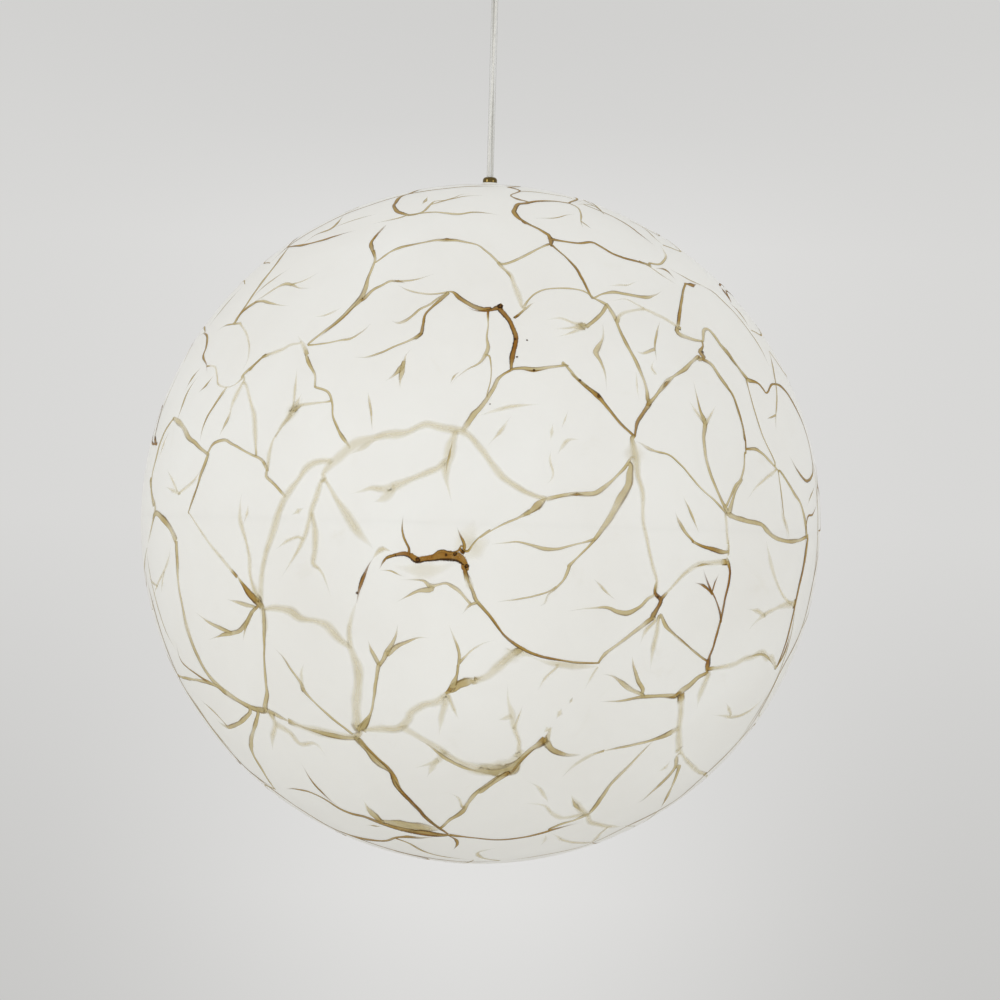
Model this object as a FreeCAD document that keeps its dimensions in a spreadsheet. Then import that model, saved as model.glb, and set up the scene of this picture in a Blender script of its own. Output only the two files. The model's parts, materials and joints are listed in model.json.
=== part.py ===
"""A pendant light: an opal globe that hangs on a clear flexible cable from a ceiling canopy.

Millimetres, +Z up. The origin is at the middle of the ceiling bracket's top face, which meets the ceiling.
The globe is two bonded half shells with a relamping mouth and a lid at the bottom.
"""

import FreeCAD, Part

import math
import os

import Sketcher

SIZES = {
    # ceiling bracket
    "bracket_gap": 1.8,
    "bracket_width": 25,
    "bracket_sheet": 2,
    "bracket_ear": 18,
    "ceiling_slot_spacing": 84,
    "ceiling_slot_length": 16,
    "ceiling_slot_width": 5,
    # canopy
    "canopy_radius": 60,
    "canopy_height": 40,
    "canopy_wall": 1.2,
    "canopy_corner": 4,
    "canopy_screw_radius": 2,
    "canopy_screw_head": 4,
    "canopy_screw_reach": 8,
    "canopy_screw_drop": 11,
    # terminal block
    "block_length": 30,
    "block_width": 19,
    "block_height": 14,
    "block_offset": 21.5,
    "terminal_pitch": 9,
    "terminal_screw_radius": 1.5,
    "terminal_screw_head": 1,
    "lead_radius": 1,
    "lead_bend": 3,
    "lead_drop": 6,
    "lead_tail": 0.8,
    "lead_pair_spacing": 2.4,
    # cable gland and the swivel inside it
    "gland_thread_radius": 10,
    "gland_flange_radius": 13,
    "gland_flange_height": 6,
    "gland_thread_height": 8,
    "gland_mouth_radius": 8.6,
    "gland_throat_radius": 5.4,
    "gland_throat_depth": 4.5,
    "gland_nut_height": 4,
    "gland_nut_flats": 26,
    "ball_radius": 7,
    "ball_clearance": 0.3,
    "ball_lift": 6,
    "swing_limit": 15,
    "swing_play": 0.4,
    # cable and its clamp
    "cable_radius": 3,
    "cable_free_length": 181.8,
    "cable_tail": 20,
    "clamp_radius": 6,
    "clamp_height": 8,
    "clamp_gap": 0.4,
    "clamp_screw_radius": 1.5,
    "clamp_screw_reach": 3.6,
    # globe
    "globe_radius": 300,
    "globe_wall": 3,
    "mouth_radius": 60,
    "lid_gap": 0.5,
    # fitting at the top of the globe
    "grip_radius": 6.4,
    "grip_height": 5,
    "grip_roof": 2.2,
    "grip_round": 3,
    "grip_clearance": 0.1,
    "grip_screw_radius": 0.8,
    "grip_screw_length": 2,
    "washer_radius": 6.6,
    "washer_height": 2.2,
    "cable_entry": 4,
    # stem, plate and nut inside the globe
    "stem_radius": 5,
    "stem_bore_radius": 3.5,
    "stem_length": 182,
    "thread_clearance": 0.05,
    "pad_height": 1.5,
    "pad_clearance": 0.1,
    "plate_radius": 40,
    "plate_sheet": 2,
    "nut_flats": 14,
    "nut_height": 5,
    # lampholder
    "holder_radius": 20,
    "holder_wall": 2.5,
    "holder_cap_height": 20,
    "holder_neck_radius": 9,
    "holder_neck_height": 8,
    "holder_body_height": 38,
    "insert_height": 9,
    "socket_sleeve_sheet": 0.6,
    "socket_sleeve_height": 20,
    "socket_clearance": 0.3,
    "contact_sheet": 0.8,
    "contact_width": 6,
    # lamp
    "lamp_thread_radius": 13.2,
    "lamp_shell_sheet": 0.4,
    "lamp_shell_height": 22,
    "lamp_insulator_height": 3,
    "lamp_insulator_radius": 6,
    "lamp_tip_radius": 4.5,
    "lamp_tip_height": 1.5,
    "lamp_collar_radius": 17,
    "lamp_collar_height": 14,
    "lamp_collar_wall": 1.6,
    "lamp_globe_radius": 47.5,
    "lamp_globe_wall": 1.2,
    "lamp_neck_height": 58,
    "led_plate_radius": 14,
    "led_plate_sheet": 1.6,
    "heat_pillar_radius": 9,
    "heat_pillar_height": 22,
    # lid ring and clips
    "ring_inner_radius": 48,
    "ring_play": 1.5,
    "ring_height": 9,
    "clip_count": 3,
    "clip_width": 12,
    "clip_sheet": 1,
    "clip_height": 14,
    "clip_foot": 10,
    "clip_play": 1.1,
    "clip_screw_radius": 2.5,
    "clip_screw_head": 1.6,
}

XZ_PLANE = "XZ_Plane"
FULL_TURN = 360
ALONG_X = FreeCAD.Rotation(FreeCAD.Vector(0, 1, 0), 90)
ALONG_Y = FreeCAD.Rotation(FreeCAD.Vector(1, 0, 0), -90)
UPRIGHT = FreeCAD.Rotation()

doc = FreeCAD.newDocument("globe_pendant")
sheet = doc.addObject("Spreadsheet::Sheet", "Sizes")
pieces = []


class Length:
    """A number together with the spreadsheet expression that gives it."""

    def __init__(self, value, text):
        self.value = value
        self.text = text

    def __add__(self, other):
        other = as_length(other)
        return Length(self.value + other.value, f"({self.text} + {other.text})")

    def __sub__(self, other):
        other = as_length(other)
        return Length(self.value - other.value, f"({self.text} - {other.text})")

    def __mul__(self, other):
        other = as_length(other)
        return Length(self.value * other.value, f"({self.text} * {other.text})")

    def __truediv__(self, other):
        other = as_length(other)
        return Length(self.value / other.value, f"({self.text} / {other.text})")

    def __neg__(self):
        return as_length(0) - self


def as_length(number):
    """Turn a plain number into a Length, and leave a Length as it is."""
    return number if isinstance(number, Length) else Length(number, repr(number))


def size(name):
    """A driving dimension from the spreadsheet."""
    return Length(SIZES[name], f"Sizes.{name}")


def half(length):
    return length / 2


def ball_height(ball_radius, ring_radius):
    """How far above a ball's centre its surface stands at a given distance from the axis."""
    square = ball_radius * ball_radius - ring_radius * ring_radius
    return Length(math.sqrt(square.value), f"sqrt{square.text}")


def tangent(degrees):
    return Length(math.tan(math.radians(degrees.value)), f"tan({degrees.text})")


def fill_sheet():
    for row, (name, value) in enumerate(SIZES.items(), start=1):
        sheet.set(f"A{row}", name)
        sheet.set(f"B{row}", str(value))
        sheet.setAlias(f"B{row}", name)
    doc.recompute()


def keep(piece, name):
    """Name a finished sub-part, so that it is written out as a node."""
    piece.Label = name
    pieces.append(piece)
    return piece


def place(piece, x, y, z, rotation=UPRIGHT):
    """Put an object at a point that follows the spreadsheet."""
    x, y, z = as_length(x), as_length(y), as_length(z)
    piece.Placement = FreeCAD.Placement(FreeCAD.Vector(x.value, y.value, z.value), rotation)
    piece.setExpression("Placement.Base.x", x.text)
    piece.setExpression("Placement.Base.y", y.text)
    piece.setExpression("Placement.Base.z", z.text)
    return piece


def bound(piece, **sizes):
    for name, length in sizes.items():
        length = as_length(length)
        setattr(piece, name, length.value)
        piece.setExpression(name, length.text)
    return piece


def block(length, width, height, x, y, z, rotation=UPRIGHT):
    """A box with its low corner at the point x, y, z."""
    solid = bound(doc.addObject("Part::Box", "block"), Length=length, Width=width, Height=height)
    return place(solid, x, y, z, rotation)


def rod(radius, height, x, y, z, rotation=UPRIGHT):
    """A cylinder whose base circle is centred on the point x, y, z."""
    solid = bound(doc.addObject("Part::Cylinder", "rod"), Radius=radius, Height=height)
    return place(solid, x, y, z, rotation)


def ball(radius, z):
    return place(bound(doc.addObject("Part::Sphere", "ball"), Radius=radius), 0, 0, z)


def half_ball(radius, z, low_angle, high_angle):
    solid = ball(radius, z)
    solid.Angle1 = low_angle
    solid.Angle2 = high_angle
    return solid


def cut(base, tool):
    result = doc.addObject("Part::Cut", "cut")
    result.Base = base
    result.Tool = tool
    return result


def common(base, tool):
    result = doc.addObject("Part::Common", "common")
    result.Base = base
    result.Tool = tool
    return result


def fuse(*solids):
    result = doc.addObject("Part::MultiFuse", "fuse")
    result.Shapes = list(solids)
    return result


def group(*solids):
    """Several separate solids in one node."""
    result = doc.addObject("Part::Compound", "group")
    result.Links = list(solids)
    return result


def sketch_on(body, plane):
    sketch = body.newObject("Sketcher::SketchObject", "outline")
    origin_plane = next(f for f in body.Origin.OriginFeatures if f.Role == plane)
    sketch.AttachmentSupport = [(origin_plane, "")]
    sketch.MapMode = "FlatFace"
    return sketch


def draw_outline(sketch, outline):
    """Draw a closed outline of straight lines, each corner held by two distances from the origin."""
    corners = [(as_length(across), as_length(along)) for across, along in outline]
    count = len(corners)
    for index, (across, along) in enumerate(corners):
        next_across, next_along = corners[(index + 1) % count]
        start = FreeCAD.Vector(across.value, along.value, 0)
        end = FreeCAD.Vector(next_across.value, next_along.value, 0)
        sketch.addGeometry(Part.LineSegment(start, end), False)
    for index in range(count):
        sketch.addConstraint(Sketcher.Constraint("Coincident", index, 2, (index + 1) % count, 1))
    for index, (across, along) in enumerate(corners):
        bind_distance(sketch, "DistanceX", index, across)
        bind_distance(sketch, "DistanceY", index, along)


def bind_distance(sketch, kind, index, length):
    """Hold the start of one line at a distance from the sketch's origin."""
    number = sketch.addConstraint(Sketcher.Constraint(kind, -1, 1, index, 1, float(length.value)))
    sketch.setExpression(f"Constraints[{number}]", length.text)


def turned(outline, z=0):
    """A solid of revolution about the Z axis, from an outline of (radius, height) corners."""
    body = doc.addObject("PartDesign::Body", "turned")
    sketch = sketch_on(body, XZ_PLANE)
    draw_outline(sketch, outline)
    revolution = body.newObject("PartDesign::Revolution", "revolution")
    revolution.Profile = sketch
    revolution.ReferenceAxis = (sketch, ["V_Axis"])
    revolution.Angle = FULL_TURN
    place(body, 0, 0, z)
    doc.recompute()
    return body


def round_rim(body, radius, height, rounding):
    """Round the circular edge that lies at a given radius and height on a turned body."""
    radius, height, rounding = as_length(radius), as_length(height), as_length(rounding)
    near = 1e-4
    names = []
    base = body.Tip
    for number, edge in enumerate(base.Shape.Edges, start=1):
        curve = edge.Curve
        if not isinstance(curve, Part.Circle):
            continue
        if abs(curve.Radius - radius.value) < near and abs(curve.Center.z - height.value) < near:
            names.append(f"Edge{number}")
    fillet = body.newObject("PartDesign::Fillet", "rounding")
    fillet.Base = (base, names)
    bound(fillet, Radius=rounding)
    body.Tip = fillet
    doc.recompute()
    return body


def tube_of(outer_radius, inner_radius, low, high):
    """A plain ring or tube about the Z axis."""
    return turned([(inner_radius, low), (outer_radius, low), (outer_radius, high), (inner_radius, high)])


def corner_radius(flats):
    """The distance from a hexagon's middle to its corners."""
    return half(flats) / math.cos(math.pi / 6)


def hex_nut(flats, height, bore_radius, z):
    """A six-sided nut with its lower face at z."""
    prism = doc.addObject("Part::Prism", "hexagon")
    prism.Polygon = 6
    bound(prism, Circumradius=corner_radius(flats), Height=height)
    place(prism, 0, 0, z)
    return cut(prism, rod(bore_radius, height, 0, 0, z))


def bent_lead(start_x, end_x, y, run_z, bend, end_z):
    """A wire that runs level along X and then turns down to its end."""
    wire_radius = SIZES["lead_radius"]
    corner = FreeCAD.Vector(end_x - bend, y, run_z - bend)
    slope = bend * math.sqrt(0.5)
    middle = corner + FreeCAD.Vector(slope, 0, slope)
    level_start = FreeCAD.Vector(start_x, y, run_z)
    level_end = FreeCAD.Vector(end_x - bend, y, run_z)
    down_start = FreeCAD.Vector(end_x, y, run_z - bend)
    down_end = FreeCAD.Vector(end_x, y, end_z)
    path = Part.Wire([
        Part.LineSegment(level_start, level_end).toShape(),
        Part.Arc(level_end, middle, down_start).toShape(),
        Part.LineSegment(down_start, down_end).toShape(),
    ])
    section = Part.Wire([Part.Circle(level_start, FreeCAD.Vector(1, 0, 0), wire_radius).toShape()])
    print(f"lead of radius {wire_radius} mm: bend radius {bend} mm")
    return path.makePipeShell([section], True, False)


# Levels along the Z axis, from the ceiling down.
CANOPY_BASE = -size("canopy_height")
CANOPY_FLOOR = CANOPY_BASE + size("canopy_wall")
SWIVEL_CENTRE = CANOPY_BASE + size("ball_lift")
GLAND_MOUTH = CANOPY_BASE - size("gland_flange_height")
CABLE_TOP = SWIVEL_CENTRE + size("cable_tail")
GRIP_TOP = GLAND_MOUTH - size("cable_free_length")
GRIP_BASE = GRIP_TOP - size("grip_height")
GLOBE_POLE = GRIP_BASE - size("washer_height")
GLOBE_CENTRE = GLOBE_POLE - size("globe_radius")
STEM_TOP = GRIP_TOP - size("grip_roof") - size("thread_clearance")
STEM_BASE = STEM_TOP - size("stem_length")
INNER_RADIUS = size("globe_radius") - size("globe_wall")
PAD_RADIUS = INNER_RADIUS - size("pad_clearance")
PLATE_RADIUS = PAD_RADIUS - size("pad_height")
PLATE_INNER_RADIUS = PLATE_RADIUS - size("plate_sheet")
THREAD_BORE = size("stem_radius") + size("thread_clearance")
CABLE_BASE = STEM_TOP - size("cable_entry")
HOLDER_JOINT = STEM_BASE - size("holder_cap_height") + size("holder_neck_height")
HOLDER_BASE = HOLDER_JOINT - size("holder_body_height")
INSERT_BASE = HOLDER_JOINT - size("insert_height")
CONTACT_BASE = INSERT_BASE - size("contact_sheet")
LAMP_TOP = CONTACT_BASE - size("socket_clearance")
LAMP_TIP_BASE = LAMP_TOP - size("lamp_tip_height")
LAMP_SHELL_TOP = LAMP_TIP_BASE - size("lamp_insulator_height")
LAMP_SHELL_BASE = LAMP_SHELL_TOP - size("lamp_shell_height")
LAMP_COLLAR_BASE = LAMP_SHELL_BASE - size("lamp_collar_height")
LAMP_CENTRE = LAMP_COLLAR_BASE - size("lamp_neck_height")
LID_RADIUS = size("mouth_radius") - size("lid_gap")
RING_TOP = GLOBE_CENTRE - ball_height(INNER_RADIUS, LID_RADIUS) + size("ring_height")


def make_ceiling_bracket():
    width, sheet_metal = size("bracket_width"), size("bracket_sheet")
    reach = size("canopy_radius") - size("canopy_wall") - size("bracket_gap")
    length = reach * 2
    strap = block(length, width, sheet_metal, -reach, -half(width), -sheet_metal)
    ears = []
    for side in (-1, 1):
        low_x = -reach if side < 0 else reach - sheet_metal
        ears.append(block(sheet_metal, width, size("bracket_ear"), low_x, -half(width), -size("bracket_ear")))
    bracket = fuse(strap, *ears)
    slot_radius = half(size("ceiling_slot_width"))
    slot_run = size("ceiling_slot_length") - size("ceiling_slot_width")
    for side in (-1, 1):
        middle = half(size("ceiling_slot_spacing")) * side
        slot = fuse(
            block(slot_run, slot_radius * 2, sheet_metal, middle - half(slot_run), -slot_radius, -sheet_metal),
            rod(slot_radius, sheet_metal, middle - half(slot_run), 0, -sheet_metal),
            rod(slot_radius, sheet_metal, middle + half(slot_run), 0, -sheet_metal),
        )
        bracket = cut(bracket, slot)
    hole_radius = size("canopy_screw_radius") + size("thread_clearance")
    hole = rod(hole_radius, length, -reach, 0, -size("canopy_screw_drop"), ALONG_X)
    return keep(cut(bracket, hole), "ceiling_bracket")


def make_canopy():
    radius, wall, corner = size("canopy_radius"), size("canopy_wall"), size("canopy_corner")
    hole_radius = size("gland_thread_radius") + size("thread_clearance")
    cup = turned([
        (hole_radius, CANOPY_BASE),
        (radius, CANOPY_BASE),
        (radius, 0),
        (radius - wall, 0),
        (radius - wall, CANOPY_FLOOR),
        (hole_radius, CANOPY_FLOOR),
    ])
    round_rim(cup, radius, CANOPY_BASE, corner)
    round_rim(cup, radius - wall, CANOPY_FLOOR, corner - wall)
    screw_hole = size("canopy_screw_radius") + size("thread_clearance")
    hole = rod(screw_hole, radius * 2, -radius, 0, -size("canopy_screw_drop"), ALONG_X)
    return keep(cut(cup, hole), "canopy")


def make_canopy_screws():
    drop = -size("canopy_screw_drop")
    screws = []
    for side in (-1, 1):
        head_x = size("canopy_radius") if side > 0 else -size("canopy_radius") - size("canopy_screw_head")
        shank_x = size("canopy_radius") - size("canopy_screw_reach") if side > 0 else -size("canopy_radius")
        head = rod(size("canopy_screw_radius") * 2, size("canopy_screw_head"), head_x, 0, drop, ALONG_X)
        shank = rod(size("canopy_screw_radius"), size("canopy_screw_reach"), shank_x, 0, drop, ALONG_X)
        screws.append(fuse(head, shank))
    return keep(group(*screws), "canopy_screws")


def make_terminal_block():
    length, width, height = size("block_length"), size("block_width"), size("block_height")
    low_x = -size("block_offset") - half(width)
    top = -size("bracket_sheet")
    body = block(width, length, height, low_x, -half(length), top - height)
    entries = []
    for pole in (-1, 0, 1):
        y = size("terminal_pitch") * pole
        entries.append(rod(size("lead_radius") * 2, width, low_x, y, top - half(height), ALONG_X))
    keep(cut(body, fuse(*entries)), "terminal_block")
    screws = []
    for pole in (-1, 0, 1):
        for side in (-1, 1):
            x = -size("block_offset") + size("terminal_pitch") / 2 * side
            y = size("terminal_pitch") * pole
            low = top - height - size("terminal_screw_head")
            screws.append(rod(size("terminal_screw_radius"), size("terminal_screw_head"), x, y, low))
    return keep(group(*screws), "terminal_screws")


def make_terminal_leads():
    """Two wires from the block's inner face, ending just above the cable's swinging end."""
    start_x = -SIZES["block_offset"] + SIZES["block_width"] / 2
    run_z = -SIZES["bracket_sheet"] - SIZES["lead_drop"]
    end_z = CABLE_TOP.value + SIZES["lead_tail"]
    leads = []
    for side in (-1, 1):
        y = SIZES["lead_pair_spacing"] / 2 * side
        leads.append(bent_lead(start_x, SIZES["lead_bend"] / 2, y, run_z, SIZES["lead_bend"], end_z))
    feature = doc.addObject("Part::Feature", "leads")
    feature.Shape = Part.Compound(leads)
    return keep(feature, "terminal_leads")


def make_gland():
    thread, flange = size("gland_thread_radius"), size("gland_flange_radius")
    throat, seat = size("gland_throat_radius"), size("ball_radius") + size("ball_clearance")
    thread_top = CANOPY_BASE + size("gland_thread_height")
    throat_level = SWIVEL_CENTRE - size("gland_throat_depth")
    blank = turned([
        (size("gland_mouth_radius"), GLAND_MOUTH),
        (flange, GLAND_MOUTH),
        (flange, CANOPY_BASE),
        (thread, CANOPY_BASE),
        (thread, thread_top),
        (seat, thread_top),
        (seat, SWIVEL_CENTRE),
        (throat, SWIVEL_CENTRE),
        (throat, throat_level),
    ])
    keep(cut(blank, ball(seat, SWIVEL_CENTRE)), "cable_gland")
    bore = thread + size("thread_clearance")
    keep(hex_nut(size("gland_nut_flats"), size("gland_nut_height"), bore, CANOPY_FLOOR), "gland_nut")


def make_swivel_ball():
    radius = size("ball_radius")
    waist = size("cable_radius") + size("swing_play")
    flare = waist + radius * tangent(size("swing_limit") + 1)
    bore = turned([
        (0, SWIVEL_CENTRE - radius),
        (flare, SWIVEL_CENTRE - radius),
        (waist, SWIVEL_CENTRE),
        (flare, SWIVEL_CENTRE + radius),
        (0, SWIVEL_CENTRE + radius),
    ])
    return keep(cut(ball(radius, SWIVEL_CENTRE), bore), "swivel_ball")


def make_cable():
    radius = size("cable_radius")
    keep(rod(radius, CABLE_TOP - CABLE_BASE, 0, 0, CABLE_BASE), "flex_cable")
    clamp_base = SWIVEL_CENTRE + size("ball_radius") + size("clamp_gap")
    clamp = tube_of(size("clamp_radius"), radius, clamp_base, clamp_base + size("clamp_height"))
    screw_z = clamp_base + half(size("clamp_height"))
    screw_hole = rod(size("clamp_screw_radius"), size("clamp_radius") * 2, radius, 0, screw_z, ALONG_X)
    keep(cut(clamp, screw_hole), "cable_clamp")
    screw = rod(size("clamp_screw_radius"), size("clamp_screw_reach"), radius, 0, screw_z, ALONG_X)
    keep(common(screw, ball(size("cable_tail"), SWIVEL_CENTRE)), "clamp_screw")
    print(f"cable: straight run of {CABLE_TOP.value - CABLE_BASE.value:.1f} mm, no bend")


def make_cord_grip():
    grip_bore = size("cable_radius") + size("grip_clearance")
    shoulder = GRIP_TOP - size("grip_roof")
    grip = turned([
        (grip_bore, GRIP_TOP),
        (size("grip_radius"), GRIP_TOP),
        (size("grip_radius"), GRIP_BASE),
        (THREAD_BORE, GRIP_BASE),
        (THREAD_BORE, shoulder),
        (grip_bore, shoulder),
    ])
    round_rim(grip, size("grip_radius"), GRIP_TOP, size("grip_round"))
    screw_z = GRIP_TOP - half(size("grip_roof"))
    screw_start = grip_bore + size("thread_clearance")
    hole = rod(size("grip_screw_radius") + size("thread_clearance"), size("grip_radius"), 0, 0, screw_z, ALONG_Y)
    keep(cut(grip, hole), "cord_grip")
    keep(rod(size("grip_screw_radius"), size("grip_screw_length"), 0, screw_start, screw_z, ALONG_Y), "grip_screw")
    keep(tube_of(size("washer_radius"), THREAD_BORE, GLOBE_POLE, GRIP_BASE), "top_washer")


def make_globe():
    centre, outer = GLOBE_CENTRE, size("globe_radius")
    inner = ball(INNER_RADIUS, centre)
    stem_hole = rod(THREAD_BORE, size("globe_wall") * 2, 0, 0, GLOBE_POLE - size("globe_wall") * 1.5)
    upper = cut(half_ball(outer, centre, 0, 90), inner)
    keep(cut(upper, stem_hole), "upper_hemisphere")
    lower = cut(half_ball(outer, centre, -90, 0), inner)
    mouth = rod(size("mouth_radius"), outer, 0, 0, centre - outer * 1.5)
    keep(cut(lower, mouth), "lower_hemisphere")
    lid_core = rod(LID_RADIUS, outer, 0, 0, centre - outer * 1.5)
    keep(common(lower, lid_core), "lid")


def make_stem_set():
    keep(tube_of(size("stem_radius"), size("stem_bore_radius"), STEM_BASE, STEM_TOP), "threaded_stem")
    keep(dished_disc(PAD_RADIUS, PLATE_RADIUS), "rubber_pad")
    keep(dished_disc(PLATE_RADIUS, PLATE_INNER_RADIUS), "support_plate")
    nut_top = GLOBE_CENTRE + ball_height(PLATE_INNER_RADIUS, corner_radius(size("nut_flats")))
    nut_z = nut_top - size("nut_height")
    keep(hex_nut(size("nut_flats"), size("nut_height"), THREAD_BORE, nut_z), "lock_nut")


def dished_disc(outer, inner):
    """A disc that follows the inside of the globe, with a hole for the stem."""
    shell = cut(ball(outer, GLOBE_CENTRE), ball(inner, GLOBE_CENTRE))
    ring = turned([
        (THREAD_BORE, GLOBE_CENTRE),
        (size("plate_radius"), GLOBE_CENTRE),
        (size("plate_radius"), GLOBE_POLE),
        (THREAD_BORE, GLOBE_POLE),
    ])
    return common(shell, ring)


def make_lampholder():
    radius, wall = size("holder_radius"), size("holder_wall")
    neck_top = HOLDER_JOINT + size("holder_cap_height")
    cap = turned([
        (THREAD_BORE, neck_top),
        (size("holder_neck_radius"), neck_top),
        (size("holder_neck_radius"), neck_top - size("holder_neck_height")),
        (radius, neck_top - size("holder_neck_height")),
        (radius, HOLDER_JOINT),
        (radius - wall, HOLDER_JOINT),
        (radius - wall, neck_top - size("holder_neck_height") - wall),
        (THREAD_BORE, neck_top - size("holder_neck_height") - wall),
    ])
    round_rim(cap, radius, neck_top - size("holder_neck_height"), wall)
    keep(cap, "holder_cap")
    keep(tube_of(radius, radius - wall, HOLDER_BASE, HOLDER_JOINT), "holder_body")
    keep(turned([
        (0, INSERT_BASE),
        (radius - wall, INSERT_BASE),
        (radius - wall, HOLDER_JOINT),
        (0, HOLDER_JOINT),
    ]), "holder_insert")
    contact_length = size("contact_width") * 2
    keep(block(contact_length, size("contact_width"), size("contact_sheet"), -half(contact_length),
               -half(size("contact_width")), CONTACT_BASE), "centre_contact")
    sleeve_inner = size("lamp_thread_radius") + size("socket_clearance")
    sleeve_outer = sleeve_inner + size("socket_sleeve_sheet")
    keep(tube_of(sleeve_outer, sleeve_inner, INSERT_BASE - size("socket_sleeve_height"), INSERT_BASE), "socket_sleeve")


def make_lamp_leads():
    """Two wires from the cable's end down through the stem to the lampholder's insert."""
    top = CABLE_BASE - size("socket_clearance")
    leads = []
    for side in (-1, 1):
        x = half(size("lead_pair_spacing")) * side
        leads.append(rod(size("lead_radius"), top - HOLDER_JOINT, x, 0, HOLDER_JOINT))
    keep(group(*leads), "lamp_leads")


def make_lamp():
    thread, skin = size("lamp_thread_radius"), size("lamp_shell_sheet")
    keep(rod(size("lamp_tip_radius"), size("lamp_tip_height"), 0, 0, LAMP_TIP_BASE), "lamp_tip")
    keep(turned([
        (0, LAMP_SHELL_TOP),
        (thread - skin, LAMP_SHELL_TOP),
        (size("lamp_insulator_radius"), LAMP_TIP_BASE),
        (0, LAMP_TIP_BASE),
    ]), "lamp_insulator")
    keep(tube_of(thread, thread - skin, LAMP_SHELL_BASE, LAMP_SHELL_TOP), "lamp_screw_shell")
    collar, wall = size("lamp_collar_radius"), size("lamp_collar_wall")
    keep(turned([
        (thread - skin - wall, LAMP_SHELL_BASE),
        (thread, LAMP_SHELL_BASE),
        (collar, LAMP_COLLAR_BASE),
        (collar - wall, LAMP_COLLAR_BASE),
    ]), "lamp_collar")
    make_lamp_globe(collar, wall)
    make_led_parts()


def make_lamp_globe(collar, wall):
    outer, inner = size("lamp_globe_radius"), size("lamp_globe_radius") - size("lamp_globe_wall")
    shell = cut(
        fuse(ball(outer, LAMP_CENTRE), lamp_neck(collar, 0)),
        fuse(ball(inner, LAMP_CENTRE), lamp_neck(collar - wall, size("lamp_globe_wall"))),
    )
    keep(shell, "lamp_globe")


def lamp_neck(top_radius, thickness):
    """The tapered neck that joins the lamp's globe to its collar."""
    foot_radius = size("lamp_globe_radius") * 0.8 - thickness
    foot_level = LAMP_CENTRE + size("lamp_globe_radius") * 0.6
    return turned([(0, foot_level), (foot_radius, foot_level), (top_radius, LAMP_COLLAR_BASE), (0, LAMP_COLLAR_BASE)])


def make_led_parts():
    pillar_top = LAMP_COLLAR_BASE
    pillar_base = pillar_top - size("heat_pillar_height")
    flange = size("lamp_collar_radius") - size("lamp_collar_wall")
    keep(turned([
        (0, pillar_base),
        (size("heat_pillar_radius"), pillar_base),
        (size("heat_pillar_radius"), pillar_top),
        (flange, pillar_top),
        (flange - size("led_plate_sheet"), pillar_top + size("led_plate_sheet")),
        (0, pillar_top + size("led_plate_sheet")),
    ]), "heat_pillar")
    plate_base = pillar_base - size("led_plate_sheet")
    keep(rod(size("led_plate_radius"), size("led_plate_sheet"), 0, 0, plate_base), "led_plate")


def make_lid_fittings():
    ring_outer = size("mouth_radius") - size("ring_play")
    ring_low = GLOBE_CENTRE - size("globe_radius")
    ring_blank = tube_of(ring_outer, size("ring_inner_radius"), ring_low, RING_TOP)
    keep(common(ring_blank, ball(INNER_RADIUS, GLOBE_CENTRE)), "lid_ring")
    clips, screws = [], []
    for number in range(SIZES["clip_count"]):
        turn = FULL_TURN / SIZES["clip_count"] * number
        clips.append(clip_at(turn))
        screws.append(clip_screw_at(turn))
    keep(group(*clips), "lid_clips")
    keep(group(*screws), "clip_screws")


def around(turn, radius, across):
    """The X and Y of a point at a given turn, outward by radius and sideways by across."""
    cosine = round(math.cos(math.radians(turn)), 9)
    sine = round(math.sin(math.radians(turn)), 9)
    return radius * cosine - across * sine, radius * sine + across * cosine


def clip_at(turn):
    """A leaf that stands just inside the mouth's wall, on a foot that lies on the ring."""
    rotation = FreeCAD.Rotation(FreeCAD.Vector(0, 0, 1), turn)
    width, sheet_metal = size("clip_width"), size("clip_sheet")
    outer_face = size("mouth_radius") - size("clip_play")
    leaf_x, leaf_y = around(turn, outer_face - sheet_metal, -half(width))
    foot_x, foot_y = around(turn, outer_face - size("clip_foot"), -half(width))
    leaf = block(sheet_metal, width, size("clip_height"), leaf_x, leaf_y, RING_TOP, rotation)
    foot = block(size("clip_foot"), width, sheet_metal, foot_x, foot_y, RING_TOP, rotation)
    return fuse(leaf, foot)


def clip_screw_at(turn):
    middle = size("mouth_radius") - size("clip_play") - half(size("clip_foot"))
    x, y = around(turn, middle, as_length(0))
    return rod(size("clip_screw_radius"), size("clip_screw_head"), x, y, RING_TOP + size("clip_sheet"))


def check_document():
    for item in doc.Objects:
        if "Invalid" in item.State or "Error" in item.State:
            raise RuntimeError(f"{item.Label} failed: {item.State}")
    for piece in pieces:
        if piece.Shape.isNull() or not piece.Shape.isValid() or not piece.Shape.Solids:
            raise RuntimeError(f"{piece.Label} has no valid shape")
        print(f"{piece.Label}: {len(piece.Shape.Solids)} solid, {piece.Shape.Volume / 1000:.2f} cm3")


def write_pieces():
    os.makedirs("parts", exist_ok=True)
    for piece in pieces:
        piece.Shape.exportStep(f"parts/{piece.Label}.step")


def main():
    fill_sheet()
    make_ceiling_bracket()
    make_canopy()
    make_canopy_screws()
    make_terminal_block()
    make_terminal_leads()
    make_gland()
    make_swivel_ball()
    make_cable()
    make_cord_grip()
    make_globe()
    make_stem_set()
    make_lampholder()
    make_lamp_leads()
    make_lamp()
    make_lid_fittings()
    doc.recompute()
    check_document()
    write_pieces()


main()
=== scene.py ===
import json
import math
import random

import bpy
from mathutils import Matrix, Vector, noise


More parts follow.
